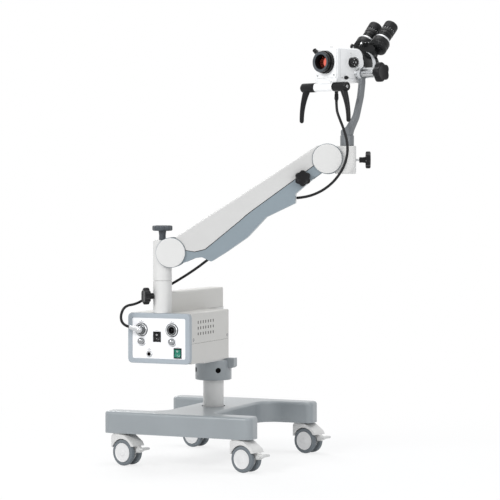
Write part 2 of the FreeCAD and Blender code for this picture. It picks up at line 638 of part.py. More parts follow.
def arm_channel():
    half = "cheek_inner + cheek_wall"
    side = slab(channel_outline(0), half)
    body = fuse(side, *lobes("lobe_radius", half))
    hollow = slab(channel_outline(V.cheek_wall), "cheek_inner")
    open_ends = [block("-lobe_radius - 5", 62, "-cheek_inner", "cheek_inner", -90, 60),
                 block("arm_length - 62", "arm_length + lobe_radius + 5", "-cheek_inner", "cheek_inner",
                       -60, 60)]
    bores = lobes("pivot_radius + running_fit", "cheek_inner + cheek_wall + 5")
    screw = rod("stud_radius + running_fit", "cheek_wall + 6",
                ("lock_knob_at", "-(cheek_inner + cheek_wall + 1)", "lock_knob_drop"), "y")
    inlet = moved(rod("cable_radius + 0.6", 30, (0, 0, -15)),
                  Placement(Vector(370, 0, -48), Rotation(Vector(0, 1, 0), 66)))
    outlet = moved(rod("cable_radius + 0.6", 30, (0, 0, -15)),
                   Placement(Vector(75, 0, -67), Rotation(Vector(0, 1, 0), 60)))
    return cut(body, hollow, *(open_ends + bores + [screw, inlet, outlet]))


def cover_outline(drop):
    end = V.arm_length
    if drop:
        top = [(10, 30.5 - drop, 0), (142, 33.9 - drop, 0), (242, 36.2 - drop, 0), (end - 3, 45 - drop, 12),
               (end + 40, 30, 0)]
        return top + [(end + 40, -60, 0), (10, -60, 0)]
    low = [(36, -13.4, 0), (58, -31.4, 10), (86, -40.4, 22), (207, -22.4, 40), (255, -15.4, 60),
           (end - 30, 4.6, 0)]
    top = [(end + 22, 20, 0), (end - 3, 45, 14), (242, 36.2, 0), (142, 33.9, 0), (32, 30.5, 3)]
    return low + top


def arm_cover():
    half = "cheek_inner + cheek_wall"
    side = slab(cover_outline(0), half)
    hollow = slab(cover_outline(2.5), "cheek_inner")
    ends = lobes("lobe_radius + 0.6", "cheek_inner + cheek_wall + 5")
    reach = V.arm_length
    side = rounded(side, 4, lambda e: e.BoundBox.ZMin > 28 and e.BoundBox.XMax < reach - 15
                   and e.BoundBox.YMax - e.BoundBox.YMin < 0.1)
    return cut(side, hollow, *ends)


def balance_spring():
    """The balancing cartridge, held by a cross pin at each end."""
    z = "-12"
    case = rod("spring_radius", "(spring_end - spring_start) * 0.6", ("spring_start", 0, z), "x")
    stem = rod("spring_pin", "spring_end - spring_start", ("spring_start", 0, z), "x")
    eye = rod("spring_pin + 4", "spring_pin + 8", ("spring_end - spring_pin - 4", 0, z), "x")
    pins = [rod("spring_pin", "2 * cheek_inner", (x, "-cheek_inner", z), "y")
            for x in ("spring_start + spring_pin + 4", "spring_end")]
    return fuse(case, stem, eye, *pins)


def arm_lock_knob():
    head = star_knob("lock_knob_radius", "lock_knob_wall", 6, "9", "6")
    stud = rod("stud_radius", "cheek_wall + 8", (0, 0, "-(cheek_wall + 3)"))
    return fuse(moved(head, shift(0, 0, V.free_gap)), stud)


def levelling_link():
    """The parallel link: a flat bar with an eye at each end."""
    y = "-(link_side + link_wall)"
    bar = block(0, "arm_length", y, "-link_side", "-link_half_width", "link_half_width")
    eyes = [rod("link_eye", "link_wall", (x, y, 0), "y") for x in (0, "arm_length")]
    bores = [rod("link_pin + running_fit", 20, (x, y + " - 5", 0), "y") for x in (0, "arm_length")]
    return cut(fuse(bar, *eyes), *bores)


def end_block():
    hub = rod("hub_disc", "2 * hub_half", (0, "-hub_half", 0), "y")
    body = block("block_start", "block_end", "-block_half", "block_half", "block_low", "block_high")
    body = rounded(body, 2.5, lambda e: True)
    neck = block(0, "block_start + 4", "-hub_half", "hub_half", -30, 30)
    boss = rod("link_pin", "link_side + link_wall + 1 - hub_half + 4",
               (0, "-(link_side + link_wall + 1)", "link_offset"), "y")
    sweep = rod("link_eye + 1.5", 14, (0, "-(link_side + 12)", "link_offset"), "y")
    body = cut(body, sweep)
    return cut(fuse(hub, neck, body, boss),
               rod("pivot_radius", 60, (0, -30, 0), "y"),
               rod("yoke_spindle + running_fit", "yoke_depth + 1",
                   ("yoke_offset", 0, "block_high - yoke_depth")),
               rod("3 + running_fit", "block_end - yoke_offset + 2", ("yoke_offset", 0, "socket_knob_drop"),
                   "x"))


def socket_knob():
    head = star_knob("socket_knob_radius", "socket_knob_wall", 6, "8", "17")
    stud = rod(3, "block_end - yoke_offset - yoke_spindle + 12",
               (0, 0, "-(block_end - yoke_offset - yoke_spindle - 1)"))
    return fuse(moved(head, shift(0, 0, 9)), stud)


# Yoke, in its own frame: X to the side, Y to the rear, Z up the swivel axis.
def yoke_side():
    ring, bar = V.head_half_width + V.head_side_gap, V.yoke_bar
    z0, z1 = V.block_high + V.yoke_plug_height, V.tilt_height
    return [(-15, z0 - 3, 0), (15, z0 - 3, 0), (19, z0 + 12, 20), (38, z0 + 46, 50),
            (ring + bar - 5, z0 + 104, 90),
            (ring + bar, z1 - 27, 50), (ring + bar, z1, 0), (ring, z1, 0), (ring, z1 - 27, 50),
            (ring - 5, z0 + 104, 90), (27, z0 + 52, 50), (2, z0 + 22, 22), (-15, z0 + 14, 6)]


def yoke_post():
    ring, bar = "head_half_width + head_side_gap", "yoke_bar"
    arm = extrude(outline(yoke_side()), Vector(0, 1, 0), "-yoke_bar_width / 2", "yoke_bar_width / 2")
    arm = rounded(arm, 3, lambda e: e.Length > 40 and e.BoundBox.ZMin > 60
                  and e.BoundBox.YMax - e.BoundBox.YMin < 0.1)
    eye = rod("tilt_ring", bar, (ring, 0, "tilt_height"), "x")
    plug = rod("yoke_plug", "yoke_plug_height - face_gap", (0, 0, "block_high + face_gap"))
    plug = rounded(plug, 1.5, lambda e: e.Length > 50)
    spindle = rod("yoke_spindle", "yoke_depth + 4", (0, 0, "block_high + face_gap - yoke_depth + 1"))
    bore = rod("tilt_pin + running_fit", 80, (ring + " - 5", 0, "tilt_height"), "x")
    groove = cut(rod("yoke_spindle + 1", 12, (0, 0, "socket_knob_drop - 6")),
                 rod("yoke_spindle - 1", 12, (0, 0, "socket_knob_drop - 6")))
    return cut(fuse(arm, eye, plug, spindle), bore, groove)


def tilt_shaft():
    start = "head_half_width + head_side_gap + yoke_bar"
    sleeve = rounded(rod("tilt_sleeve", "tilt_sleeve_length", (start, 0, "tilt_height"), "x"), 1,
                     lambda e: e.Length > 50)
    return cut(sleeve, rod("tilt_pin + running_fit", 80, (start + " - 5", 0, "tilt_height"), "x"))


def tilt_knob():
    return moved(star_knob("tilt_knob_radius", "tilt_knob_wall", 5, "10", "4"), shift(0, 0, V.free_gap))


# Optical head, in the tilt axis frame.
def scope_body():
    front, rear, high, low = -V.head_front, V.head_rear, V.head_high, V.head_low
    side = [(front, low, 0), (rear, low, V.head_edge), (rear, high, V.head_crown), (front, high, 6)]
    body = extrude(outline(side, "yz"), Vector(1, 0, 0), "-head_half_width", "head_half_width")
    half = V.head_half_width
    body = rounded(body, 5, lambda e: abs(e.BoundBox.XMax - e.BoundBox.XMin) < 0.01
                   and e.BoundBox.ZMax > low + 1)
    lip = block("-head_half_width - 0.3", "head_half_width + 0.3", "-head_front - head_lip",
                "head_rear - 14",
                "head_low - 1", "head_low + head_lip_height")
    drum_seat = rod("drum_radius - 1", "10", (0, "head_rear - 9", "optic_height"), "y")
    lug = block(-20, 20, "handle_y - 4", "-head_front + 30", "handle_z + 3", "head_low + 1")
    bar = rod("handle_bar", "2 * handle_bar_half", ("-handle_bar_half", "handle_y", "handle_z"), "x")
    spigots = rod("handle_spigot", "2 * (handle_bar_half + handle_hub_length - 4)",
                  ("-(handle_bar_half + handle_hub_length - 4)", "handle_y", "handle_z"), "x")
    trunnion = rod("tilt_pin", "head_side_gap + yoke_bar + tilt_sleeve_length - 8 + 10",
                   ("head_half_width - 10", 0, 0), "x")
    boss = rod("head_boss", "head_side_gap - free_gap + 3", ("head_half_width - 3", 0, 0), "x")
    inlet = rod("head_plug_radius + 4", 8, (0, "head_plug_y", "head_low - 7"))
    shapes = [body, lip, drum_seat, lug, bar, spigots, trunnion, boss, inlet]
    lens_bore = rod("lens_radius", "30", (0, "-head_front - 2", "optic_height"), "y")
    zoom = rod("4 + running_fit", 25, ("head_half_width - 16", "zoom_knob_y", "zoom_knob_z"), "x")
    filters = rod("2 + running_fit", 25, ("head_half_width - 12", "filter_knob_y", "filter_knob_z"), "x")
    plug = rod("head_plug_radius", 14, (0, "head_plug_y", "head_low - 8"))
    return cut(fuse(*shapes), lens_bore, zoom, filters, plug)


def objective_barrel():
    b, r, lens = V.barrel_radius, V.ring_radius, V.lens_radius
    n1, n2 = V.barrel_length, V.barrel_length + V.ring_length
    seat = V.barrel_seat
    shape = [(lens, 0, 0), (b, 0, 0), (b, n1 - 8, 0), (b - 2.4, n1 - 6, 0), (b - 2.4, n1 + 0.5, 0),
             (r, n1 + 0.5, 0), (r, n2, 1.5),
             (r - 4, n2, 0), (r - 5, n2 - 3, 0), (lens + 0.3, seat + 3, 0), (lens, seat, 0)]
    barrel = turned(shape)
    return moved(barrel, Placement(Vector(0, -V.head_front, V.optic_height), Rotation(Vector(1, 0, 0), 90)))


def objective_lens():
    r, w = V.lens_radius, V.lens_wall
    half = [(0, 0, 0), (r - 0.0, 0, 0), (r, w - 3, 0), (r * 0.55, w - 0.9, 0), (0, w, 0)]
    return moved(turned(half), Placement(Vector(0, -V.head_front, V.optic_height),
                                         Rotation(Vector(1, 0, 0), 90)))


def focus_lever():
    """A ring round the barrel with its lever."""
    b, n1 = V.barrel_radius, V.barrel_length
    fit = b - 2.4 + V.running_fit
    ring = turned([(fit, n1 - 5.6, 0), (b + 0.6, n1 - 5.6, 0), (b + 0.6, n1 + 0.2, 0), (fit, n1 + 0.2, 0)])
    lever = rod("lever_radius * 0.55", "lever_length", (0, 0, 0), "x")
    grip = rod("lever_radius", "lever_length * 0.7", ("lever_length * 0.4", 0, 0), "x")
    reach = b - 0.5
    turn = Rotation(Vector(0, 0, 1), 135)
    centre = turn.multVec(Vector(reach, 0, 0)) + Vector(0, 0, n1 - 2.7)
    lever = moved(fuse(lever, grip), Placement(centre, turn))
    return moved(fuse(ring, lever), Placement(Vector(0, -V.head_front, V.optic_height),
                                              Rotation(Vector(1, 0, 0), 90)))


def rear_drum():
    r, length = V.drum_radius, V.drum_length
    silver, end = V.ring_silver, V.drum_length + V.ring_silver_length
    drum = turned([(0, 1, 0), (r, 1, 1), (r, length, 1), (silver, length + 1, 0), (silver, end - 2, 0),
                   (silver - 2, end, 0), (0, end, 0)])
    return moved(drum, Placement(Vector(0, V.head_rear, V.optic_height), Rotation(Vector(1, 0, 0), -90)))


TUBES = Placement(Vector(0, V.eye_y, V.eye_z), Rotation(Vector(1, 0, 0), V.tube_slope - 90))


def binocular_body():
    rear = V.head_rear + V.drum_length + V.ring_silver_length
    flange = rounded(rod("drum_radius - 3", 16, (0, "head_rear + drum_length + ring_silver_length",
                                                 "optic_height"), "y"), 2,
                     lambda e: e.Length > 100 and e.BoundBox.YMin > rear + 1)
    top = "prism_start - prism_gap"
    plates = [rod("prism_radius", "bridge_wall", (x, 0, top + " - bridge_wall"))
              for x in ("-eye_half_spacing", "eye_half_spacing")]
    bridge = block("-eye_half_spacing", "eye_half_spacing", "-prism_radius + 3", "prism_radius - 3",
                   top + " - bridge_wall", top)
    neck = taper("neck_radius - 4", "neck_radius + 2", 44, (0, 0, top + " - bridge_wall - 42"))
    pin = rod("knuckle_pin", "prism_length + bridge_wall", (0, 0, top + " - bridge_wall"))
    upper = moved(fuse(bridge, neck, pin, *plates), TUBES)
    keep = block(-80, 80, "head_rear + drum_length + ring_silver_length", 300, -80, 300)
    return fuse(flange, common(upper, keep))


def prism(side):
    """One prism housing: it turns about the knuckle between the two."""
    x = "%d * eye_half_spacing" % side
    case = rounded(rod("prism_radius", "prism_length", (x, 0, "prism_start")), 2.5,
                   lambda e: e.Length > 100)
    half = "prism_length / 2 - face_gap / 2"
    mine = "prism_start" if side < 0 else "prism_start + prism_length / 2 + face_gap / 2"
    other = "prism_start - 1" if side > 0 else "prism_start + prism_length / 2 - face_gap / 2"
    knuckle = rod("knuckle_radius", half, (0, 0, mine))
    room = rod("knuckle_radius + face_gap", half + " + 1 + face_gap", (0, 0, other))
    bore = rod("knuckle_pin + running_fit", 60, (0, 0, "prism_start - 5"))
    spigot = rod("eye_spigot + running_fit", 13, (x, 0, "prism_start + prism_length - 12"))
    ring = cut(rod("eye_collar", "eye_collar_length", (x, 0, "prism_start + prism_length - 0.5")),
               rod("eye_spigot + running_fit", 20, (x, 0, "prism_start + prism_length - 5")))
    return moved(cut(fuse(cut(fuse(case, ring), room), knuckle), bore, spigot), TUBES)


def eyepiece(side):
    """A stepped eyepiece with a dioptre ring and an eyecup, from its spigot up."""
    r, length = V.eye_radius, V.eye_length
    low = V.prism_start + V.prism_length + V.eye_collar_length - 0.5 + V.free_gap
    shape = [(V.eye_bore - 3, -12, 0), (V.eye_spigot, -12, 0), (V.eye_spigot, 0, 0), (r - 1.5, 0, 0),
             (r - 1.5, 9, 0), (r, 10, 0),
             (r, 20, 0), (r - 1, 21, 0), (r - 1, 23, 0), (r + 0.4, 24, 0), (r + 0.4, length - 3, 0),
             (r - 2, length, 0),
             (V.eye_bore, length, 0), (V.eye_bore, length - 8, 0), (V.eye_bore - 3, length - 10, 0)]
    eye = moved(turned(shape), shift(side * V.eye_half_spacing, 0, low))
    glass = rod("eye_bore - 2.5", 3, ("%d * eye_half_spacing" % side, 0, low + length - 14))
    return moved(fuse(eye, glass), TUBES)


def handle(side):
    """A hub on the cross bar with a tapered grip that splays outwards."""
    gap = "handle_bar_half + face_gap"
    start = gap if side > 0 else "-(%s) - handle_hub_length" % gap
    hub = rounded(rod("handle_hub", "handle_hub_length", (start, "handle_y", "handle_z"), "x"), 2,
                  lambda e: e.Length > 50)
    bore = rod("handle_spigot + running_fit", "handle_hub_length - 3",
               (start if side > 0 else "-(%s) - handle_hub_length + 3" % gap,
                                                                    "handle_y", "handle_z"), "x")
    middle = V.handle_bar_half + V.face_gap + V.handle_hub_length - 15
    rings = []
    steps = 5
    for n in range(steps):
        part = n / (steps - 1.0)
        circle = DOC.addObject("Part::Circle", "GripRing")
        circle.Radius = V.grip_top + (V.grip_tip - V.grip_top) * part ** 0.6
        lean = math.degrees(math.atan2(2 * V.grip_splay * part, V.grip_drop))
        spot = Vector(side * (middle + V.grip_splay * part ** 2), V.handle_y,
                      V.handle_z - 6 - V.grip_drop * part)
        circle.Placement = Placement(spot, Rotation(Vector(0, 1, 0), -side * lean))
        rings.append(circle)
    grip = DOC.addObject("Part::Loft", "Grip")
    grip.Sections = rings
    grip.Solid = True
    tip = DOC.addObject("Part::Sphere", "GripTip")
    bind(tip, Radius="grip_tip")
    tip.Placement = Placement(rings[-1].Placement.Base, Rotation())
    return cut(fuse(hub, grip, tip), bore)


def side_knob(radius, wall, pin, y, z, marks):
    """A small round knob on the side of the head, on its own spindle."""
    start = "head_half_width + face_gap"
    knob = rounded(rod(radius, wall, (start, y, z), "x"), 0.8, lambda e: e.Length > 20)
    grip = block(start + " + (%s) - 1" % wall, start + " + (%s) + %s" % (wall, marks), "%s - 2.4" % y,
                 "%s + 2.4" % y,
                 "%s - (%s) * 0.8" % (z, radius), "%s + (%s) * 0.8" % (z, radius))
    return fuse(knob, grip, rod(pin, "(%s) + 10" % 1, ("head_half_width - 10", y, z), "x"))


# Light cable: straight runs joined by tangent arcs through chosen points.
def cable_wire(points):
    """Edges of the path, and the smallest bend radius on it."""
    edges, radii = [], []
    spots = [Vector(*p) for p in points]
    here = spots[0]
    for n in range(1, len(spots) - 1):
        back = spots[n - 1] - spots[n]
        ahead = spots[n + 1] - spots[n]
        run = min(back.Length, ahead.Length)
        back.normalize()
        ahead.normalize()
        half_turn = (math.pi - back.getAngle(ahead)) / 2
        reach = 0.45 * run
        radius = reach / math.tan(half_turn)
        start, end = spots[n] + back * reach, spots[n] + ahead * reach
        middle = spots[n] + (back + ahead).normalize() * (radius / math.cos(half_turn) - radius)
        edges.append(Part.LineSegment(here, start).toShape())
        edges.append(Part.Arc(start, middle, end).toShape())
        here = end
        radii.append(radius)
    edges.append(Part.LineSegment(here, spots[-1]).toShape())
    return Part.Wire(edges), radii


def cable(name, points):
    """A round tube along the path, set down where its points already lie."""
    wire, radii = cable_wire(points)
    first = wire.Edges[0]
    way = first.Curve.Direction
    if (Vector(*points[1]) - Vector(*points[0])).dot(way) < 0:
        way = way * -1
    ring = Part.Wire([Part.Circle(Vector(*points[0]), way, V.cable_radius).toShape()])
    tube = DOC.addObject("Part::Feature", "Cable")
    tube.Shape = wire.makePipeShell([ring], True, False)
    share = tube.Shape.Volume / (math.pi * V.cable_radius ** 2 * wire.Length)
    print("%s length %.1f, radii %s, volume share %.4f" % (name, wire.Length, [round(r) for r in radii],
                                                           share))
    return node(name, tube, Placement())


def spot(frame, x, y, z):
    """A point of a group's own frame, in the part's frame."""
    return tuple(frame.multVec(Vector(x, y, z)))


def light_cables():
    top = spot(HEAD, 0, V.head_plug_y, V.head_low - 1 - V.head_plug_length)
    inlet = spot(ARM, 373, 0, -48)
    upper = [top,
             spot(HEAD, 0, V.head_plug_y, V.head_low - V.head_plug_length - 27),
             spot(PIVOT, 461, -43, 372), spot(PIVOT, 478, -48, 330), spot(PIVOT, 487, -50, 289),
             spot(PIVOT, 482, -50, 250),
             spot(PIVOT, 464, -46, 214), spot(PIVOT, 438, -36, 185), spot(PIVOT, 405, -20, 164),
             spot(PIVOT, 368, -4, 152), inlet]
    cable("light_cable_upper", upper)
    outlet = spot(ARM, 76, 0, -68)
    front, floor = box_front(), V.box_bottom
    port = (V.column_x + V.port_left, V.column_y + front, floor + V.port_height)
    tail = Vector(port[0] - 26, port[1] - 22, port[2] + 8)
    way = (tail - Vector(port[0], port[1] - 13, port[2])).normalize()
    lower = [outlet,
             spot(PIVOT, 77, 4, -37), spot(PIVOT, 46, 18, -58), spot(PIVOT, 10, 33, -80),
             spot(PIVOT, -32, 38, -104),
             spot(PIVOT, -73, 24, -126), spot(PIVOT, -104, -4, -143),
             (port[0] - 42, port[1] - 28, port[2] + 64), (port[0] - 50, port[1] - 36, port[2] + 36),
             tuple(tail + way * 18), tuple(tail)]
    cable("light_cable_lower", lower)
    return lower[-1], port


def head_plug():
    r, length = V.head_plug_radius, V.head_plug_length
    ferrule = turned([(0, 0, 0), (r - 1, 0, 0), (r + 0.8, 2, 0), (r + 0.8, 14, 0), (r, 15, 0),
                      (r, length + 6, 0), (0, length + 6, 0)])
    return moved(ferrule, shift(0, V.head_plug_y, V.head_low - 1 - V.head_plug_length))


def panel_plug(end, port):
    """An elbow plug: a nose in the left port and a sleeve that meets the cable."""
    nose_out = Vector(port[0], port[1] - 13, port[2])
    nose = rod("port_bore - 0.05", 26)
    nose = moved(nose, Placement(Vector(port[0], port[1] - 14, port[2]), TURNS["y"]))
    tail = Vector(*end) - nose_out
    sleeve = taper("port_bore - 1", "cable_radius + 1.5", "%.4f" % tail.Length)
    sleeve = moved(sleeve, Placement(nose_out, Rotation(Vector(0, 0, 1), tail)))
    ball = DOC.addObject("Part::Sphere", "Elbow")
    bind(ball, Radius="port_bore - 0.5")
    ball.Placement = Placement(nose_out, Rotation())
    return fuse(nose, ball, sleeve)


# Every sub-part, in its place.
node("base_casting", base_casting(), STAND)
node("column_tube", column_tube(), STAND)
casters()
for title, make in (("column_collar", column_collar), ("support_bracket", support_bracket),
                    ("box_chassis", box_chassis),
                    ("box_cover", box_cover), ("front_bezel", front_bezel), ("front_panel", front_panel),
                    ("panel_sockets", panel_sockets), ("swing_beam", swing_beam),
                    ("upright_tube", upright_tube)):
    node(title, make(), STAND)
node("lamp_switch", rocker_switch("lamp_x", "lamp_height"), STAND)
node("power_switch", rocker_switch("power_x", "power_height"), STAND)
node("dimmer_knob_left", dimmer_knob("port_left"), STAND)
node("dimmer_knob_right", dimmer_knob("port_right"), STAND)
SIDE = STAND.multiply(shift(0, -V.beam_reach, V.side_knob_height))
SIDE = SIDE.multiply(about((0, 0, 1), -90 - V.side_knob_turn))
SIDE = SIDE.multiply(Placement(Vector(V.upright_radius, 0, 0), Rotation(Vector(0, 1, 0), 90)))
node("upright_knob", upright_knob(), SIDE)

node("post_head", post_head(), POST)
node("lower_pivot_pin", pivot_pin(), PIVOT)
TOP_KNOB = POST.multiply(shift(0, 0, V.post_top))
knob_head = star_knob("top_knob_radius", "top_knob_wall", 8, "top_knob_stem", "top_knob_gap")
node("tension_knob", fuse(moved(knob_head, shift(0, 0, V.free_gap)), rod("stud_radius", 44, (0, 0, -40))),
     TOP_KNOB)

node("arm_channel", arm_channel(), ARM)
node("arm_cover", arm_cover(), ARM)
node("balance_spring", balance_spring(), ARM)
LOCK = Placement(Vector(V.lock_knob_at, -(V.cheek_inner + V.cheek_wall), V.lock_knob_drop),
                 Rotation(Vector(1, 0, 0), 90))
node("arm_lock_knob", arm_lock_knob(), ARM.multiply(LOCK))
LINK = PIVOT.multiply(shift(0, 0, V.link_offset)).multiply(about((0, 1, 0), -V.arm_pitch))
node("levelling_link", levelling_link(), LINK)

node("end_block", end_block(), UPPER)
node("upper_pivot_pin", pivot_pin(), UPPER)
SOCKET = UPPER.multiply(Placement(Vector(V.block_end, 0, V.socket_knob_drop),
                                  Rotation(Vector(0, 1, 0), 90)))
node("socket_knob", socket_knob(), SOCKET)

node("yoke_post", yoke_post(), YOKE)
node("tilt_shaft", tilt_shaft(), YOKE)
tilt_end = V.head_half_width + V.head_side_gap + V.yoke_bar + V.tilt_sleeve_length
node("tilt_knob", tilt_knob(), HEAD.multiply(Placement(Vector(tilt_end, 0, 0),
                                                       Rotation(Vector(0, 1, 0), 90))))

for title, make in (("scope_body", scope_body), ("objective_barrel", objective_barrel),
                    ("objective_lens", objective_lens),
                    ("focus_lever", focus_lever), ("rear_drum", rear_drum),
                    ("binocular_body", binocular_body)):
    node(title, make(), HEAD)
for title, side in (("left", -1), ("right", 1)):
    node("prism_" + title, prism(side), HEAD)
    node("eyepiece_" + title, eyepiece(side), HEAD)
    node("handle_" + title, handle(side), HEAD)
node("magnification_knob", side_knob("zoom_knob_radius", "zoom_knob_wall", 4, "zoom_knob_y", "zoom_knob_z",
                                     3), HEAD)
node("filter_knob", side_knob("filter_knob_radius", "filter_knob_wall", 2, "filter_knob_y", "filter_knob_z",
                              0.5), HEAD)

cable_end, left_port = light_cables()
node("head_plug", head_plug(), HEAD)
node("panel_plug", panel_plug(cable_end, left_port), Placement())

# Build, test and write every sub-part.
DOC.recompute()
bad = [obj.Label for obj in DOC.Objects if "Invalid" in obj.State or "Error" in obj.State]
os.makedirs("parts", exist_ok=True)
total = FreeCAD.BoundBox()
for part in NODES:
    shape = part.Shape
    solids = len(shape.Solids)
    if not shape.isValid() or solids != 1 or shape.Volume <= 0:
        bad.append("%s valid %s solids %d volume %.1f" % (part.Label, shape.isValid(), solids,
                                                          shape.Volume))
    for corner in shape.tessellate(0.3)[0]:
        total.add(corner)
    shape.exportStep("parts/%s.step" % part.Label)
print("nodes", len(NODES))
print("bounds X %.2f %.2f, Y %.2f %.2f, Z %.2f %.2f" % (total.XMin, total.XMax, total.YMin, total.YMax,
                                                        total.ZMin, total.ZMax))
print("centre offset X %.2f Y %.2f" % (total.Center.x, total.Center.y))
if bad:
    raise SystemExit("not sound: " + "; ".join(bad))
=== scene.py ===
"""Colposcope on a wheeled stand, dressed over its CAD frame. Metres, +Z up, panel faces -Y."""
import json
import math
import bmesh
import bpy
from mathutils import Matrix, Vector


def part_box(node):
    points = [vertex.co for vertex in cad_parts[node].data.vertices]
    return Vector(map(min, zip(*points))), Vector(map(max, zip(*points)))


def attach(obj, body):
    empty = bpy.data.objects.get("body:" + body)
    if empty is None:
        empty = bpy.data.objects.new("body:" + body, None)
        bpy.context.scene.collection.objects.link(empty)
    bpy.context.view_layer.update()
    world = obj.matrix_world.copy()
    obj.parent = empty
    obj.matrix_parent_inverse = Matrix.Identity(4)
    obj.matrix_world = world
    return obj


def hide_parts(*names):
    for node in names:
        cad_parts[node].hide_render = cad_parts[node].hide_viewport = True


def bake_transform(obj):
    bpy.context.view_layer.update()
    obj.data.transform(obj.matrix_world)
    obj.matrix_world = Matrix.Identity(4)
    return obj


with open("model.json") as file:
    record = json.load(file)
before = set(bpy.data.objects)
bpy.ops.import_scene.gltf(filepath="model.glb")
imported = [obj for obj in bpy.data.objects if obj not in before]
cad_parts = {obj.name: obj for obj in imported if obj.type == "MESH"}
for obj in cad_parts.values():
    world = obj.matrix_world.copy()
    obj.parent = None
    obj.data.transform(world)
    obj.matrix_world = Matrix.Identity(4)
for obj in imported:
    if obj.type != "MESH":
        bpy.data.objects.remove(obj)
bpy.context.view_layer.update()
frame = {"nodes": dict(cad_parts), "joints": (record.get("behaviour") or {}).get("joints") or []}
NODES = frame["nodes"]
JOINTS = {joint["name"]: joint for joint in frame["joints"]}
MM = 0.001

# Camera and light
CAMERA_AZIMUTH = 23.7
CAMERA_PITCH = 1.68
CAMERA_SPOT = (2.2744, -5.2798, 0.7803)
CAMERA_LENS = 145.7
FLOOR_TONE = 0.9
PAPER_REACH = 60.0
SHADOW_REACH = 1.7
SHADOW_SHARE = 0.24
ROOM_LIGHT = 0.5
LAMPS = (
    ("key", (-1.2, -3.8, 2.8), (0, 0, 0.6), 1.5, 96, (1, 1, 1)),
    ("fill", (3.4, -2.4, 1.9), (0.1, 0, 0.7), 2.0, 36, (1, 1, 1)),
    ("top", (0.2, 0.4, 3.6), (0, 0, 0.4), 2.4, 42, (1, 1, 1)),
    ("rim", (-2.4, 2.2, 2.0), (0, 0, 0.7), 1.4, 26, (1, 1, 1)),
)


def make_camera():
    data = bpy.data.cameras.new("camera")
    data.lens = CAMERA_LENS
    data.sensor_width = 36
    data.clip_end = 100
    camera = bpy.data.objects.new("camera", data)
    camera.location = CAMERA_SPOT
    camera.rotation_euler = (math.radians(90 - CAMERA_PITCH), 0, math.radians(CAMERA_AZIMUTH))
    bpy.context.scene.collection.objects.link(camera)
    bpy.context.scene.camera = camera


def area_light(name, spot, aim, size, power, tone):
    data = bpy.data.lights.new(name, "AREA")
    data.shape = "DISK"
    data.size = size
    data.energy = power
    data.color = tone
    light = bpy.data.objects.new(name, data)
    light.location = spot
    light.rotation_euler = (Vector(aim) - Vector(spot)).to_track_quat("-Z", "Y").to_euler()
    bpy.context.scene.collection.objects.link(light)


def backdrop_share(tree):
    """1 for camera, glossy and transmission rays, which see the white backdrop itself."""
    path = tree.nodes.new("ShaderNodeLightPath")
    first, both = tree.nodes.new("ShaderNodeMath"), tree.nodes.new("ShaderNodeMath")
    for node in (first, both):
        node.operation = "MAXIMUM"
    tree.links.new(path.outputs["Is Glossy Ray"], first.inputs[0])
    tree.links.new(path.outputs["Is Transmission Ray"], first.inputs[1])
    tree.links.new(first.outputs[0], both.inputs[0])
    tree.links.new(path.outputs["Is Camera Ray"], both.inputs[1])
    return both.outputs[0]


def make_studio():
    scene = bpy.context.scene
    scene.view_settings.view_transform = "Standard"
    world = bpy.data.worlds.new("studio")
    scene.world = world
    world.use_nodes = True
    tree = world.node_tree
    room = tree.nodes["Background"]
    room.inputs["Color"].default_value = (0.93, 0.96, 1, 1)
    room.inputs["Strength"].default_value = ROOM_LIGHT
    seen = tree.nodes.new("ShaderNodeBackground")
    seen.inputs["Color"].default_value = (1, 1, 1, 1)
    seen.inputs["Strength"].default_value = 1.0
    mix = tree.nodes.new("ShaderNodeMixShader")
    tree.links.new(backdrop_share(tree), mix.inputs["Fac"])
    tree.links.new(room.outputs[0], mix.inputs[1])
    tree.links.new(seen.outputs[0], mix.inputs[2])
    tree.links.new(mix.outputs[0], tree.nodes["World Output"].inputs["Surface"])
    for name, place, aim, size, power, tone in LAMPS:
        area_light(name, place, aim, size, power, tone)


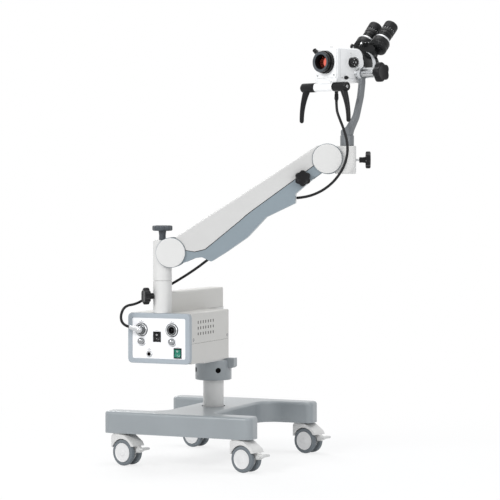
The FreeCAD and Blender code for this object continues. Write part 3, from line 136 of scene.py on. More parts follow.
def make_floor():
    """White paper: pure white far away, shaded by the object's own shadow close to it."""
    mesh = bpy.data.meshes.new("floor")
    r, low = PAPER_REACH, -0.0006
    mesh.from_pydata([(-r, -r, low), (r, -r, low), (r, r, low), (-r, r, low)], [], [(0, 1, 2, 3)])
    floor = bpy.data.objects.new("floor", mesh)
    bpy.context.scene.collection.objects.link(floor)
    mat = bpy.data.materials.new("floor_paper")
    mat.use_nodes = True
    tree = mat.node_tree
    shader = tree.nodes["Principled BSDF"]
    shader.inputs["Base Color"].default_value = (FLOOR_TONE, FLOOR_TONE, FLOOR_TONE, 1)
    shader.inputs["Roughness"].default_value = 0.9
    shader.inputs["Specular IOR Level"].default_value = 0.1
    glow = tree.nodes.new("ShaderNodeEmission")
    glow.inputs["Color"].default_value = (1, 1, 1, 1)
    place = tree.nodes.new("ShaderNodeTexCoord")
    near = tree.nodes.new("ShaderNodeMapping")
    near.inputs["Scale"].default_value = (1 / SHADOW_REACH,) * 3
    ball = tree.nodes.new("ShaderNodeTexGradient")
    ball.gradient_type = "QUADRATIC_SPHERE"
    tree.links.new(place.outputs["Object"], near.inputs["Vector"])
    tree.links.new(near.outputs[0], ball.inputs["Vector"])
    white = tree.nodes.new("ShaderNodeMapRange")
    white.inputs["From Max"].default_value = 0.5
    white.inputs["To Min"].default_value = 1.0
    white.inputs["To Max"].default_value = 1 - SHADOW_SHARE
    tree.links.new(ball.outputs["Fac"], white.inputs["Value"])
    share = tree.nodes.new("ShaderNodeMath")
    share.operation = "MULTIPLY"
    tree.links.new(backdrop_share(tree), share.inputs[0])
    tree.links.new(white.outputs[0], share.inputs[1])
    mix = tree.nodes.new("ShaderNodeMixShader")
    tree.links.new(share.outputs[0], mix.inputs["Fac"])
    tree.links.new(shader.outputs[0], mix.inputs[1])
    tree.links.new(glow.outputs[0], mix.inputs[2])
    tree.links.new(mix.outputs[0], tree.nodes["Material Output"].inputs["Surface"])
    mesh.materials.append(mat)


# Materials
def material(name, tone, rough, metal=0.0, grain=60.0, spread=0.03, bump=0.05, coat=0.0,
             rough_spread=0.06, stretch=(1, 1, 1), shine=0.5):
    """A surface with slight colour variation, uneven gloss and a fine relief."""
    mat = bpy.data.materials.new(name)
    mat.use_nodes = True
    tree = mat.node_tree
    shader = tree.nodes["Principled BSDF"]
    shader.inputs["Metallic"].default_value = metal
    shader.inputs["Coat Weight"].default_value = coat
    shader.inputs["Specular IOR Level"].default_value = shine
    shader.inputs["Coat Roughness"].default_value = 0.18
    place = tree.nodes.new("ShaderNodeTexCoord")
    scale = tree.nodes.new("ShaderNodeMapping")
    scale.inputs["Scale"].default_value = stretch
    tree.links.new(place.outputs["Object"], scale.inputs["Vector"])
    cloud = tree.nodes.new("ShaderNodeTexNoise")
    cloud.inputs["Scale"].default_value = grain * 0.12
    cloud.inputs["Detail"].default_value = 4
    tree.links.new(scale.outputs[0], cloud.inputs["Vector"])
    tint = tree.nodes.new("ShaderNodeValToRGB")
    low = [max(c * (1 - spread), 0) for c in tone]
    high = [min(c * (1 + spread), 1) for c in tone]
    tint.color_ramp.elements[0].position = 0.3
    tint.color_ramp.elements[1].position = 0.7
    tint.color_ramp.elements[0].color = low + [1]
    tint.color_ramp.elements[1].color = high + [1]
    tree.links.new(cloud.outputs["Fac"], tint.inputs["Fac"])
    tree.links.new(tint.outputs["Color"], shader.inputs["Base Color"])
    gloss = tree.nodes.new("ShaderNodeMapRange")
    gloss.inputs["To Min"].default_value = max(rough - rough_spread, 0.02)
    gloss.inputs["To Max"].default_value = min(rough + rough_spread, 1)
    tree.links.new(cloud.outputs["Fac"], gloss.inputs["Value"])
    tree.links.new(gloss.outputs["Result"], shader.inputs["Roughness"])
    fine = tree.nodes.new("ShaderNodeTexNoise")
    fine.inputs["Scale"].default_value = grain * 14
    fine.inputs["Detail"].default_value = 2
    tree.links.new(scale.outputs[0], fine.inputs["Vector"])
    relief = tree.nodes.new("ShaderNodeBump")
    relief.inputs["Strength"].default_value = bump
    relief.inputs["Distance"].default_value = 0.0005
    tree.links.new(fine.outputs["Fac"], relief.inputs["Height"])
    tree.links.new(relief.outputs["Normal"], shader.inputs["Normal"])
    return mat


def make_materials():
    table = {
        "cream": material("cream_enamel", (0.655, 0.65, 0.637), 0.34, spread=0.015, bump=0.08,
                          coat=0.2),
        "hub": material("white_moulding", (0.74, 0.735, 0.73), 0.4, spread=0.012, bump=0.06),
        "white": material("white_enamel", (0.91, 0.912, 0.912), 0.3, spread=0.012, bump=0.07,
                          coat=0.25),
        "beige": material("beige_textured_enamel", (0.575, 0.565, 0.54), 0.46, spread=0.02, bump=0.3),
        "cast_grey": material("grey_cast_enamel", (0.275, 0.30, 0.315), 0.36, spread=0.06, bump=0.3,
                              coat=0.35),
        "arm_grey": material("blue_grey_enamel", (0.22, 0.265, 0.295), 0.36, spread=0.03, bump=0.15,
                             coat=0.15),
        "yoke_grey": material("plain_grey_enamel", (0.155, 0.165, 0.175), 0.34, spread=0.04, bump=0.1,
                              coat=0.15),
        "bezel_blue": material("blue_grey_moulding", (0.355, 0.395, 0.43), 0.4, spread=0.02, bump=0.12),
        "cover": material("light_enamel", (0.565, 0.56, 0.55), 0.36, spread=0.015, bump=0.08, coat=0.2),
        "panel": material("panel_sheet", (0.90, 0.90, 0.91), 0.28, spread=0.008, bump=0.03),
        "black": material("black_moulding", (0.009, 0.009, 0.010), 0.3, spread=0.2, bump=0.16,
                          shine=0.2),
        "satin_black": material("black_anodised", (0.009, 0.0095, 0.010), 0.25, spread=0.15, bump=0.08,
                                shine=0.2),
        "knob_grey": material("dark_grey_moulding", (0.047, 0.056, 0.066), 0.45, spread=0.12,
                              bump=0.25),
        "tyre": material("grey_tyre", (0.165, 0.185, 0.20), 0.62, spread=0.07, bump=0.35, shine=0.3),
        "rubber": material("black_rubber", (0.009, 0.009, 0.010), 0.38, spread=0.2, bump=0.25,
                           shine=0.22),
        "pedal": material("caster_moulding", (0.60, 0.60, 0.59), 0.4, spread=0.02, bump=0.15),
        "steel": material("brushed_steel", (0.55, 0.56, 0.57), 0.3, metal=1, spread=0.05, bump=0.2,
                          stretch=(1, 1, 14)),
        "nickel": material("satin_nickel", (0.60, 0.61, 0.62), 0.22, metal=1, spread=0.03, bump=0.06),
        "grey_nickel": material("grey_nickel", (0.34, 0.35, 0.36), 0.2, metal=1, spread=0.03,
                                bump=0.04),
        # dark metal: painted shade in the grooves and at the feet of the ports, the jack and the
        # dimmers
        "metal_painted_shade": material("nickel_in_painted_shade", (0.07, 0.072, 0.075), 0.35, metal=1, spread=0.06,
                                bump=0.05),
        "green": material("green_rocker", (0.0, 0.17, 0.11), 0.3, spread=0.08, bump=0.05),
        "mark": material("mark_ink", (0.05, 0.055, 0.07), 0.5, spread=0.05, bump=0.02),
        "seam": material("seam_shade", (0.42, 0.425, 0.43), 0.7, spread=0.05, bump=0.02),
        "silver": material("silver_lacquer", (0.66, 0.67, 0.68), 0.26, metal=0.45, spread=0.02,
                           bump=0.04),
        "white_mark": material("white_ink", (0.8, 0.8, 0.8), 0.5, spread=0.03, bump=0.02),
        # near-black: painted shade in vents, the box seam, holes, screw recesses, the objective's
        # throat and the eyecups; also the own colour of the collar's screws and the box screws' washers
        "dark": material("near_black_and_painted_shade", (0.004, 0.004, 0.0045), 0.8, spread=0.1, bump=0.1, shine=0.1),
    }
    table["coated"] = coated_glass()
    return table


def coated_glass():
    """A lens with a warm red coating that mirrors the room."""
    return material("coated_lens", (0.86, 0.15, 0.10), 0.07, metal=0.9, spread=0.06, bump=0.0, coat=0.6,
                    rough_spread=0.02, grain=90)


NODE_FINISH = {
    "cast_grey": ["base_casting", "column_collar"],
    "cream": ["column_tube", "support_bracket", "upright_tube", "post_head", "lower_pivot_pin",
              "end_block", "upper_pivot_pin"],
    "beige": ["box_chassis", "box_cover", "swing_beam"],
    "bezel_blue": ["front_bezel"],
    "panel": ["front_panel"],
    "nickel": ["panel_sockets", "panel_plug", "dimmer_knob_left", "dimmer_knob_right", "tilt_shaft"],
    "black": ["lamp_switch", "upright_knob", "arm_lock_knob", "socket_knob", "tilt_knob", "handle_left",
              "handle_right", "magnification_knob", "filter_knob", "head_plug"],
    "green": ["power_switch"],
    "knob_grey": ["tension_knob"],
    "arm_grey": ["arm_channel"],
    "yoke_grey": ["yoke_post"],
    "cover": ["arm_cover"],
    "white": ["scope_body"],
    "steel": ["balance_spring", "levelling_link"],
    "satin_black": ["objective_barrel", "focus_lever", "rear_drum", "binocular_body", "prism_left",
                    "prism_right", "eyepiece_left", "eyepiece_right"],
    "coated": ["objective_lens"],
    "rubber": ["light_cable_upper", "light_cable_lower"],
}


def finish_nodes():
    names = {node: key for key, nodes in NODE_FINISH.items() for node in nodes}
    for name, obj in NODES.items():
        key = names.get(name)
        if key is None:
            key = "tyre" if "wheels" in name else "pedal" if "pedal" in name else "cream"
        obj.data.materials.clear()
        obj.data.materials.append(MAT[key])
        smooth(obj.data)


def smooth(mesh, angle=32):
    mesh.polygons.foreach_set("use_smooth", [True] * len(mesh.polygons))
    mesh.set_sharp_from_angle(angle=math.radians(angle))


# Frames of the moving groups, from the joints
def axes(origin, x_axis, z_axis):
    """A frame at origin, in metres, with its X and Z directions."""
    x = Vector(x_axis).normalized()
    z = Vector(z_axis)
    z = (z - x * z.dot(x)).normalized()
    y = z.cross(x)
    turn = Matrix((x, y, z)).transposed().to_4x4()
    return Matrix.Translation(origin) @ turn


def joint_at(name):
    return Vector(JOINTS[name]["pos_m"])


def joint_axis(name):
    return Vector(JOINTS[name]["axis"])


UP = Vector((0, 0, 1))
AHEAD, BEHIND, TO_SIDE = (0, -1, 0), (0, 1, 0), (1, 0, 0)
PIVOT_SIDE = joint_axis("arm_lift")
PIVOT = axes(joint_at("arm_lift"), PIVOT_SIDE.cross(UP) * -1, UP)
ARM = axes(joint_at("arm_lift"), joint_at("block_level") - joint_at("arm_lift"), UP)
HEAD_SIDE = joint_axis("head_tilt")
TILT_OFFSET = 53 * MM
HEAD = axes(joint_at("head_tilt") - HEAD_SIDE * TILT_OFFSET, HEAD_SIDE, UP)
PANEL_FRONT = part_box("front_bezel")[0].y
STAND_X = (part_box("column_tube")[0].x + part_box("column_tube")[1].x) / 2
BOX_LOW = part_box("box_chassis")[0].z


# Mesh helpers: shapes are given in millimetres in a local frame, and piece() scales them
def piece(name, mesh, finish, body, place=None, replace=()):
    """A finished mesh set down in the row frame, on its body."""
    mesh.transform(Matrix.Scale(MM, 4))
    if place is not None:
        mesh.transform(place)
    smooth(mesh)
    for key in ([finish] if isinstance(finish, str) else finish):
        mesh.materials.append(MAT[key])
    obj = bpy.data.objects.new(name, mesh)
    bpy.context.scene.collection.objects.link(obj)
    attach(obj, body)
    if replace:
        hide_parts(*replace)


def to_mesh(name, bm):
    mesh = bpy.data.meshes.new(name)
    bmesh.ops.recalc_face_normals(bm, faces=bm.faces)
    bm.to_mesh(mesh)
    bm.free()
    return mesh


def lathe_into(bm, profile, segments=48, place=Matrix.Identity(4), finish=0, wave=None):
    """Revolve (radius, height) points round Z. wave(angle, radius, height) may change a radius."""
    rings = []
    for radius, height in profile:
        if radius < 1e-6:
            rings.append([bm.verts.new(place @ Vector((0, 0, height)))])
            continue
        ring = []
        for n in range(segments):
            turn = 2 * math.pi * n / segments
            r = wave(turn, radius, height) if wave else radius
            ring.append(bm.verts.new(place @ Vector((r * math.cos(turn), r * math.sin(turn), height))))
        rings.append(ring)
    for a, b in zip(rings, rings[1:]):
        for n in range(segments):
            m = (n + 1) % segments
            corners = [a[n % len(a)], a[m % len(a)], b[m % len(b)], b[n % len(b)]]
            face = bm.faces.new(list(dict.fromkeys(corners)))
            face.material_index = finish


def block_into(bm, low, high, place=Matrix.Identity(4), finish=0, bevel=0.0):
    """A block between two corners, with its edges rounded where bevel is given."""
    made = bmesh.ops.create_cube(bm, size=1)["verts"]
    centre = [(a + b) / 2 for a, b in zip(low, high)]
    span = [b - a for a, b in zip(low, high)]
    for v in made:
        v.co = Vector([c + s * x for c, s, x in zip(centre, span, v.co)])
    faces = {f for v in made for f in v.link_faces}
    if bevel:
        edges = list({e for f in faces for e in f.edges})
        done = bmesh.ops.bevel(bm, geom=edges, offset=bevel, segments=3, affect="EDGES", profile=0.5)
        made = list({v for f in done["faces"] for v in f.verts} | {v for v in made if v.is_valid})
        faces = {f for v in made for f in v.link_faces}
    for v in made:
        v.co = place @ v.co
    for f in faces:
        f.material_index = finish


def ring_profile(r_in, r_out, z0, z1, edge=0.6):
    """A closed washer outline with small chamfers, for lathe_into."""
    return [(r_in, z0 + edge), (r_in + edge, z0), (r_out - edge, z0), (r_out, z0 + edge),
            (r_out, z1 - edge), (r_out - edge, z1), (r_in + edge, z1), (r_in, z1 - edge),
            (r_in, z0 + edge)]


def knob_mesh(name, radius, wall, lobes, stem_radius, stem_length, depth):
    """A lobed hand knob with rounded rims, a shallow face dish and a waisted stem."""
    bm = bmesh.new()

    def wave(turn, r, z):
        share = min(max((r - radius * 0.5) / (radius * 0.5), 0), 1)
        dip = 0.5 - 0.5 * math.cos(lobes * turn)
        return r * (1 - depth * share * (1 - dip ** 0.7))

    z, face_dish = stem_length, 1.5
    profile = [(radius * 0.42, z), (radius * 0.8, z), (radius * 0.93, z + 0.7),
               (radius * 0.985, z + 2.2), (radius, z + 4), (radius, z + wall - 4),
               (radius * 0.985, z + wall - 2), (radius * 0.93, z + wall - 0.7),
               (radius * 0.86, z + wall), (radius * 0.72, z + wall - 0.1),
               (radius * 0.6, z + wall - face_dish), (0, z + wall - face_dish)]
    lathe_into(bm, profile, 120, wave=wave)
    lathe_into(bm, [(0, 0), (stem_radius - 0.8, 0), (stem_radius, 0.8), (stem_radius * 0.96, z * 0.5),
                    (stem_radius * 1.12, z), (stem_radius * 1.12, z + 1)], 48)
    return to_mesh(name, bm)


def screw_into(bm, place, radius=2.2, height=1.0, finish=0, recess_shade_finish=1):
    """A pan head screw with a cross recess, its head along +Z; callers give the recess near-black
    painted shade.
    """
    lathe_into(bm, [(radius, -0.4), (radius, height * 0.45), (radius * 0.82, height * 0.85),
                    (radius * 0.4, height), (0, height)], 24, place, finish)
    for turn in (0, math.pi / 2):
        arm = place @ Matrix.Rotation(turn + 0.4, 4, "Z")
        block_into(bm, (-radius * 0.62, -radius * 0.13, height * 0.7),
                   (radius * 0.62, radius * 0.13, height + 0.02), arm, recess_shade_finish)


def along(origin, direction):
    """A local frame, in millimetres, at origin with +Z along direction."""
    turn = Vector(direction).to_track_quat("Z", "Y").to_matrix().to_4x4()
    return Matrix.Translation(Vector(origin)) @ turn


# Casters
def casters():
    """The four pairs of wheels: grey tyres with a ribbed hub, on a steel axle."""
    for corner in ("front_left", "front_right", "rear_left", "rear_right"):
        axle = joint_at("spin_" + corner)
        side = joint_axis("spin_" + corner)
        place = axes(axle, side.cross(UP), UP)
        bm = bmesh.new()
        for flip in (1, -1):
            out = along((0, 7 * flip, 0), (0, flip, 0))
            tyre = [(26.5, 1.5), (33, 1.5), (35.2, 1.9), (36.8, 3.2), (37.4, 5.5), (37.5, 8.5),
                    (37.4, 11.5), (36.8, 13.8), (35.2, 15.2), (32.5, 15.8), (29.5, 15.8), (28.3, 15.2),
                    (27.6, 14.4), (26.5, 14.4)]
            lathe_into(bm, tyre, 96, out, 0)
            hub = [(8, 0.2), (26.4, 0.2), (26.6, 14.6), (27, 15.2), (27.3, 15.9), (26.8, 16.5),
                   (25.6, 16.7), (24.4, 16.3), (23.6, 15.4), (22.6, 15.1), (9.5, 15.4), (8.9, 16.1),
                   (8.2, 16.7), (6.5, 16.9), (0, 17)]
            lathe_into(bm, hub, 72, out, 1)
        lathe_into(bm, [(0, -7.5), (5, -7.5), (5, 7.5), (0, 7.5)], 24, along((0, 0, 0), (0, 1, 0)), 2)
        piece("wheels_" + corner, to_mesh("wheels_" + corner, bm), ["tyre", "hub", "steel"],
              "wheels_" + corner, place, ["caster_wheels_" + corner])


# The collar's holes: their height, and the ways they face in degrees
COLLAR_HOLE = 260
COLLAR_HOLE_TURNS = (-50, -140)


def collar_sockets():
    """Black clamp screws deep in the collar's two holes."""
    low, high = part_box("column_tube")
    middle = Vector(((low.x + high.x) / 2, (low.y + high.y) / 2, 0)) / MM
    bm = bmesh.new()
    for turn in COLLAR_HOLE_TURNS:
        way = Vector((math.cos(math.radians(turn)), math.sin(math.radians(turn)), 0))
        place = along(middle + way * 31 + Vector((0, 0, COLLAR_HOLE)), way)
        lathe_into(bm, [(0, 0), (7.95, 0), (7.95, 19.4), (5, 19.4), (4.4, 16), (0, 16)], 40, place, 0)
    piece("collar_screws", to_mesh("collar_screws", bm), ["dark"], "carriage", None)


# Control panel
def panel_point(x, z):
    """A point on the panel's outer face, from its offsets in the box, in millimetres."""
    return Vector((STAND_X / MM + x, PANEL_FRONT / MM + 2, BOX_LOW / MM + z))


PORTS = {"left": (-53.5, 93), "right": (40, 93)}
KNOBS = {"left": (-53.5, 61), "right": (40, 61)}
JACK = (-29.5, 26)
ROCKERS = {"lamp": (-5.5, 74), "power": (57.5, 30)}


def sockets():
    """Two round ports with a bright flange, a groove and four pins, and a small jack; the grooves,
    feet, port floors and jack hole are painted shade.
    """
    bm = bmesh.new()
    for x, z in PORTS.values():
        place = along(panel_point(x, z), AHEAD)
        lathe_into(bm, [(13.2, 1.6), (13.8, 3.4), (14.6, 4.2), (15.8, 4.2), (16.8, 3.4), (17.4, 2.0)],
                   72, place, 0)
        lathe_into(bm, [(17.4, 2.0), (18.0, 0.9), (19.0, 0.7), (19.0, -1.5)], 72, place, 2)
        lathe_into(bm, [(11.4, 1.0), (13.0, 1.0), (13.2, 1.6)], 72, place, 2)
        lathe_into(bm, [(9.6, -12), (9.6, 2.6), (9.9, 3.1), (11.0, 3.1), (11.4, 2.6), (11.4, 1.0)], 72,
                   place, 3)
        lathe_into(bm, [(0, -7.5), (6.6, -7.5), (6.6, -0.6), (7.2, 0), (9.6, 0)], 48, place, 1)
        for n in range(4):
            turn = math.pi / 4 + n * math.pi / 2
            lathe_into(bm, [(0.8, -9), (0.8, -5), (0.4, -4.4), (0, -4.4)], 12,
                       place @ Matrix.Translation((3.2 * math.cos(turn), 3.2 * math.sin(turn), 0)), 0)
    x, z = JACK
    place = along(panel_point(x, z), AHEAD)
    lathe_into(bm, [(3.3, -9), (3.3, 1.4), (4, 2.2), (5.2, 2.3)], 40, place, 1)
    lathe_into(bm, [(5.2, 2.3), (6.2, 2.4), (7.8, 2.2), (8.6, 1.4), (8.8, 0.4)], 48, place, 0)
    lathe_into(bm, [(8.8, 0.4), (9.0, 0.3), (9.0, -1)], 48, place, 2)
    lathe_into(bm, [(0, -9), (3.3, -9)], 40, place, 1)
    piece("panel_sockets_dressed", to_mesh("sockets", bm),
          ["nickel", "dark", "metal_painted_shade", "grey_nickel"], "carriage", None, ["panel_sockets"])


def rocker_frames():
    """A black frame round each rocker, with a back plate."""
    bm = bmesh.new()
    for x, z in ROCKERS.values():
        spot = panel_point(x, z)
        wide, tall, bar, face, back = 11.5, 14, 2, -2.2, 8
        for low, high in (((-wide, face, -tall), (-wide + bar, back, tall)),
                          ((wide - bar, face, -tall), (wide, back, tall)),
                          ((-wide, face, -tall), (wide, back, -tall + bar)),
                          ((-wide, face, tall - bar), (wide, back, tall))):
            block_into(bm, low, high, Matrix.Translation(spot), 0, 0.5)
        block_into(bm, (-wide + 1, 6.5, -tall + 1), (wide - 1, back, tall - 1),
                   Matrix.Translation(spot), 0)
    piece("rocker_frames", to_mesh("rocker_frames", bm), ["satin_black"], "carriage", None)


def rockers():
    """The two rockers, each with a ring and a bar on its face."""
    for name, node, finish in (("lamp", "lamp_switch", "black"), ("power", "power_switch", "green")):
        low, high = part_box(node)
        x = (low.x + high.x) / 2 / MM
        z = (low.z + high.z) / 2 / MM
        front = PANEL_FRONT / MM
        bm = bmesh.new()
        side = [(-2.6, -10.6), (-1.6, -9.2), (0.1, -3), (0.7, 0.4), (0.2, 3.6), (-1.1, 9.2),
                (-1.6, 10.6), (8.6, 7.4), (9, 6.9), (9, -6.9), (8.6, -7.4)]
        loops = []
        for sx in (-9.4, -8.7, 8.7, 9.4):
            inset = 0.5 if abs(sx) > 9 else 0
            depths = [front + p + inset * (1 if p < 2 else -1) for p, q in side]
            loops.append([bm.verts.new((x + sx, y, z + q)) for y, (p, q) in zip(depths, side)])
        for a, b in zip(loops, loops[1:]):
            for n in range(len(side)):
                m = (n + 1) % len(side)
                bm.faces.new((a[n], a[m], b[m], b[n]))
        bm.faces.new(loops[0])
        bm.faces.new(loops[-1])
        lathe_into(bm, ring_profile(1.7, 2.5, 0, 0.25, 0.1), 28,
                   along((x, front - 0.2, z + 5.6), (0, -1, -0.15)), 1)
        block_into(bm, (x - 0.4, front - 0.75, z - 7.6), (x + 0.4, front - 0.2, z - 4), finish=1)
        piece(node + "_dressed", to_mesh(node, bm), [finish, "white_mark"], name + "_rocker", None,
              [node])


def dimmers():
    """Small bright domed knobs with a knurled skirt and a pointer line."""
    for side, (x, z) in KNOBS.items():
        place = along(panel_point(x, z), AHEAD)
        bm = bmesh.new()

        def knurl(turn, r, height):
            return r + (0.2 * math.cos(30 * turn) if 1.5 < height < 5.6 and r > 8 else 0)

        # the foot at the panel is dark metal: painted shade under the knob
        lathe_into(bm, [(0, 0.4), (9.2, 0.4), (9.4, 0.9), (9.2, 1.5), (8.9, 1.6)], 240, place, 2)
        lathe_into(bm, [(8.9, 1.6), (8.9, 5.6), (8.6, 6.2), (8.4, 6.9)], 240, place, 0, knurl)
        dome = [(8.4 * math.cos(math.radians(a)), 6.9 + 6.2 * math.sin(math.radians(a)))
                for a in range(0, 90, 10)]
        lathe_into(bm, dome + [(0, 13.1)], 240, place, 0)
        block_into(bm, (-0.45, 4.2, 9.4), (0.45, 7.6, 11.2), place @ Matrix.Rotation(0.9, 4, "Z"), 1)
        piece("dimmer_dressed_" + side, to_mesh("dimmer", bm), ["grey_nickel", "mark", "metal_painted_shade"],
              "dimmer_" + side, None, ["dimmer_knob_" + side])


def panel_marks():
    """Printed marks: widening arcs under the dimmers, bars and rings over the ports, and lines."""
    bm = bmesh.new()
    skin = 0.12
    for x, z in KNOBS.values():
        centre = panel_point(x, z)
        previous = None
        for n in range(25):
            turn = math.radians(205 + 130 * n / 24)
            near, far = 12.4, 12.6 + 1.0 * n / 24
            pair = [bm.verts.new(centre + Vector((r * math.cos(turn), -skin, r * math.sin(turn))))
                    for r in (near, far)]
            if previous:
                bm.faces.new((previous[0], previous[1], pair[1], pair[0]))
            previous = pair
    for x, z in (*PORTS.values(), JACK):
        wide = 7 if (x, z) != JACK else 6
        top = 21.5 if (x, z) != JACK else 12
        place = Matrix.Translation(panel_point(x, z))
        block_into(bm, (-wide, -skin, top), (wide, 0.2, top + 0.6), place)
        lathe_into(bm, ring_profile(0.9, 1.4, 0, 0.2, 0.05), 20,
                   along(panel_point(x, z + top + 3), AHEAD))
    for x, z in ROCKERS.values():
        place = Matrix.Translation(panel_point(x, z))
        block_into(bm, (-5, -skin, 16.6), (5, 0.2, 17.1), place)
    piece("panel_marks", to_mesh("panel_marks", bm), ["mark"], "carriage", None)


def box_screws():
    """Two screws with dark washers on each side of the box."""
    bm = bmesh.new()
    low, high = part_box("box_cover")
    for x, way in ((low.x / MM, -1), (high.x / MM, 1)):
        for y in (low.y / MM + 15, high.y / MM - 9):
            place = along((x, y, BOX_LOW / MM + 66), (way, 0, 0))
            lathe_into(bm, ring_profile(3.2, 4.3, -0.4, 0.25, 0.1), 40, place, 1)
            screw_into(bm, place, 3.3, 1.5)
    piece("box_screws", to_mesh("box_screws", bm), ["nickel", "dark"], "carriage", None)


def box_shadows():
    """Near-black sheets of painted shade inside the vents and in the seam between the cover and the
    chassis.
    """
    bm = bmesh.new()
    low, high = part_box("box_cover")
    x0, x1, y0, y1 = low.x / MM, high.x / MM, low.y / MM, high.y / MM
    for x in (x0 + 0.5, x1 - 1.5):
        block_into(bm, (x, y0 + 4, BOX_LOW / MM + 70), (x + 1, y1 - 4, BOX_LOW / MM + 130))
    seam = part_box("box_chassis")[1].z / MM
    block_into(bm, (x0 + 0.5, y0 + 0.5, seam - 0.5), (x1 - 0.5, y1 - 0.5, seam + 1.1))
    piece("box_shadows", to_mesh("box_shadows", bm), ["dark"], "carriage", None)


# Hand knobs
KNOB_GAP = 0.5


def hand_knobs():
    """The five lobed clamp knobs, and the bare screw between the socket's knob and its block."""
    piece("upright_knob_dressed", knob_mesh("k", 23.4, 17, 6, 8.6, 12, 0.2), "black", "upright_clamp",
          knob_place("upright_clamp_turn", KNOB_GAP), ["upright_knob"])
    piece("arm_lock_dressed", knob_mesh("k", 22.4, 17, 6, 8.8, 6, 0.17), "black", "arm_lock",
          knob_place("arm_lock_turn", KNOB_GAP), ["arm_lock_knob"])
    piece("socket_knob_dressed", knob_mesh("k", 23.4, 14, 6, 7.8, 17, 0.15), "black", "socket",
          knob_place("socket_turn", 9), ["socket_knob"])
    piece("socket_screw", rod_mesh(3, -2, 10), "steel", "socket", knob_place("socket_turn", 0))
    piece("tilt_knob_dressed", knob_mesh("k", 27.4, 20, 5, 10, 4, 0.21), "black", "tilt_lock",
          knob_place("tilt_lock_turn", KNOB_GAP), ["tilt_knob"])
    piece("tension_knob_dressed", knob_mesh("k", 27.9, 15, 8, 9.6, 25, 0.09), "knob_grey", "tension",
          knob_place("tension_turn", KNOB_GAP, UP), ["tension_knob"])


def rod_mesh(radius, z0, z1):
    bm = bmesh.new()
    lathe_into(bm, [(0, z0), (radius, z0), (radius, z1), (0, z1)], 32)
    return to_mesh("rod", bm)


def knob_place(joint, gap, way=None):
    """A frame in metres whose Z runs along a knob's axis, gap millimetres from its joint."""
    way = way or joint_axis(joint)
    return along(joint_at(joint) + way.normalized() * gap * MM, way)


# Optical head, in its own frame: X to the side of the tilt knob, Y to the rear
HALF, FRONT, REAR, LOW, HIGH = 37, -87, 25, -25, 67
AXIS_Z = 27.6
DRUM_LONG = 56
NECK_START = REAR + 56.2


def head_front_plate():
    """The head's rounded front plate with two screws below."""
    bm = bmesh.new()
    block_into(bm, (-HALF + 1.5, FRONT - 2.6, LOW + 10), (HALF - 1.5, FRONT + 1, HIGH - 4), bevel=1.2)
    for x in (-HALF + 8, HALF - 8):
        screw_into(bm, along((x, FRONT - 2.6, LOW + 17), AHEAD), 2.4, 0.9, 1, 2)
    piece("head_front_plate", to_mesh("plate", bm), ["white", "nickel", "dark"], "head", HEAD)


def objective():
    """The objective: a knurled mount, a smooth hood and a deep throat of near-black painted shade with
    the lens at its end.
    """
    bm = bmesh.new()
    out = along((0, FRONT, AXIS_Z), AHEAD)

    def knurl(turn, r, height):
        return r + (0.3 * math.cos(44 * turn) if r > 29.4 and 3 < height < 7 else 0)

    lathe_into(bm, [(31, 0), (31, 2.8), (30.4, 3.2), (30, 3.4), (30, 6.9), (29.6, 7.2), (27.5, 7.4),
                    (27.5, 13.4), (27.9, 13.7), (28, 14.4), (28, 24.2), (27.7, 25.3), (27, 25.9)], 176,
               out, 0, knurl)
    lathe_into(bm, [(27, 25.9), (25.6, 26), (24.8, 25.6), (24.2, 25.1), (21.6, 25.1), (20.6, 24.6),
                    (20.2, 23.8)], 176, out, 3)
    throat = [(20.2, 23.8)]
    for n in range(5):
        z = 22.4 - 3.2 * n
        throat += [(20.2, z), (19.7, z - 0.5), (19.7, z - 1.6), (20.2, z - 2)]
    lathe_into(bm, throat + [(20.0, 5.6), (20.0, 3.4)], 96, out, 2)
    piece("objective_dressed", to_mesh("objective", bm),
          ["satin_black", "metal_painted_shade", "dark", "knob_grey"], "head", HEAD, ["objective_barrel"])
    bm = bmesh.new()
    bowl = [(19.9 * math.sin(math.radians(a)), 3.4 + 4.4 * math.cos(math.radians(a)))
            for a in range(90, -1, -6)]
    lathe_into(bm, [(19.9, 0.5)] + bowl, 72, out, 0)
    piece("lens_dressed", to_mesh("lens", bm), ["coated"], "head", HEAD, ["objective_lens"])


def focus_ring():
    """A thin ring round the mount and a ridged lever up to the left."""
    bm = bmesh.new()
    out = along((0, FRONT, AXIS_Z), AHEAD)
    lathe_into(bm, ring_profile(27.7, 30.5, 7.6, 13.1, 0.5), 96, out, 0)
    to_left = Matrix.Rotation(math.radians(135), 4, "Z")
    lever = out @ to_left @ Matrix.Translation((29.3, 0, 10.3)) @ Matrix.Rotation(math.pi / 2, 4, "Y")
    ridges = [(3.4, -1), (3.4, 3.4), (4.8, 4.0)]
    for n in range(4):
        z = 4.8 + 3.9 * n
        ridges += [(5.7, z), (5.9, z + 0.5), (5.9, z + 2.1), (5.7, z + 2.6), (5.1, z + 2.8),
                   (5.1, z + 3.4)]
    lathe_into(bm, ridges + [(4.6, 20.2), (3.6, 20.8), (0, 20.9)], 64, lever, 0)
    piece("focus_lever_dressed", to_mesh("focus", bm), ["satin_black"], "focus", HEAD, ["focus_lever"])


ZOOM = (-26, 27.9)
FILTER = (-52, -14)


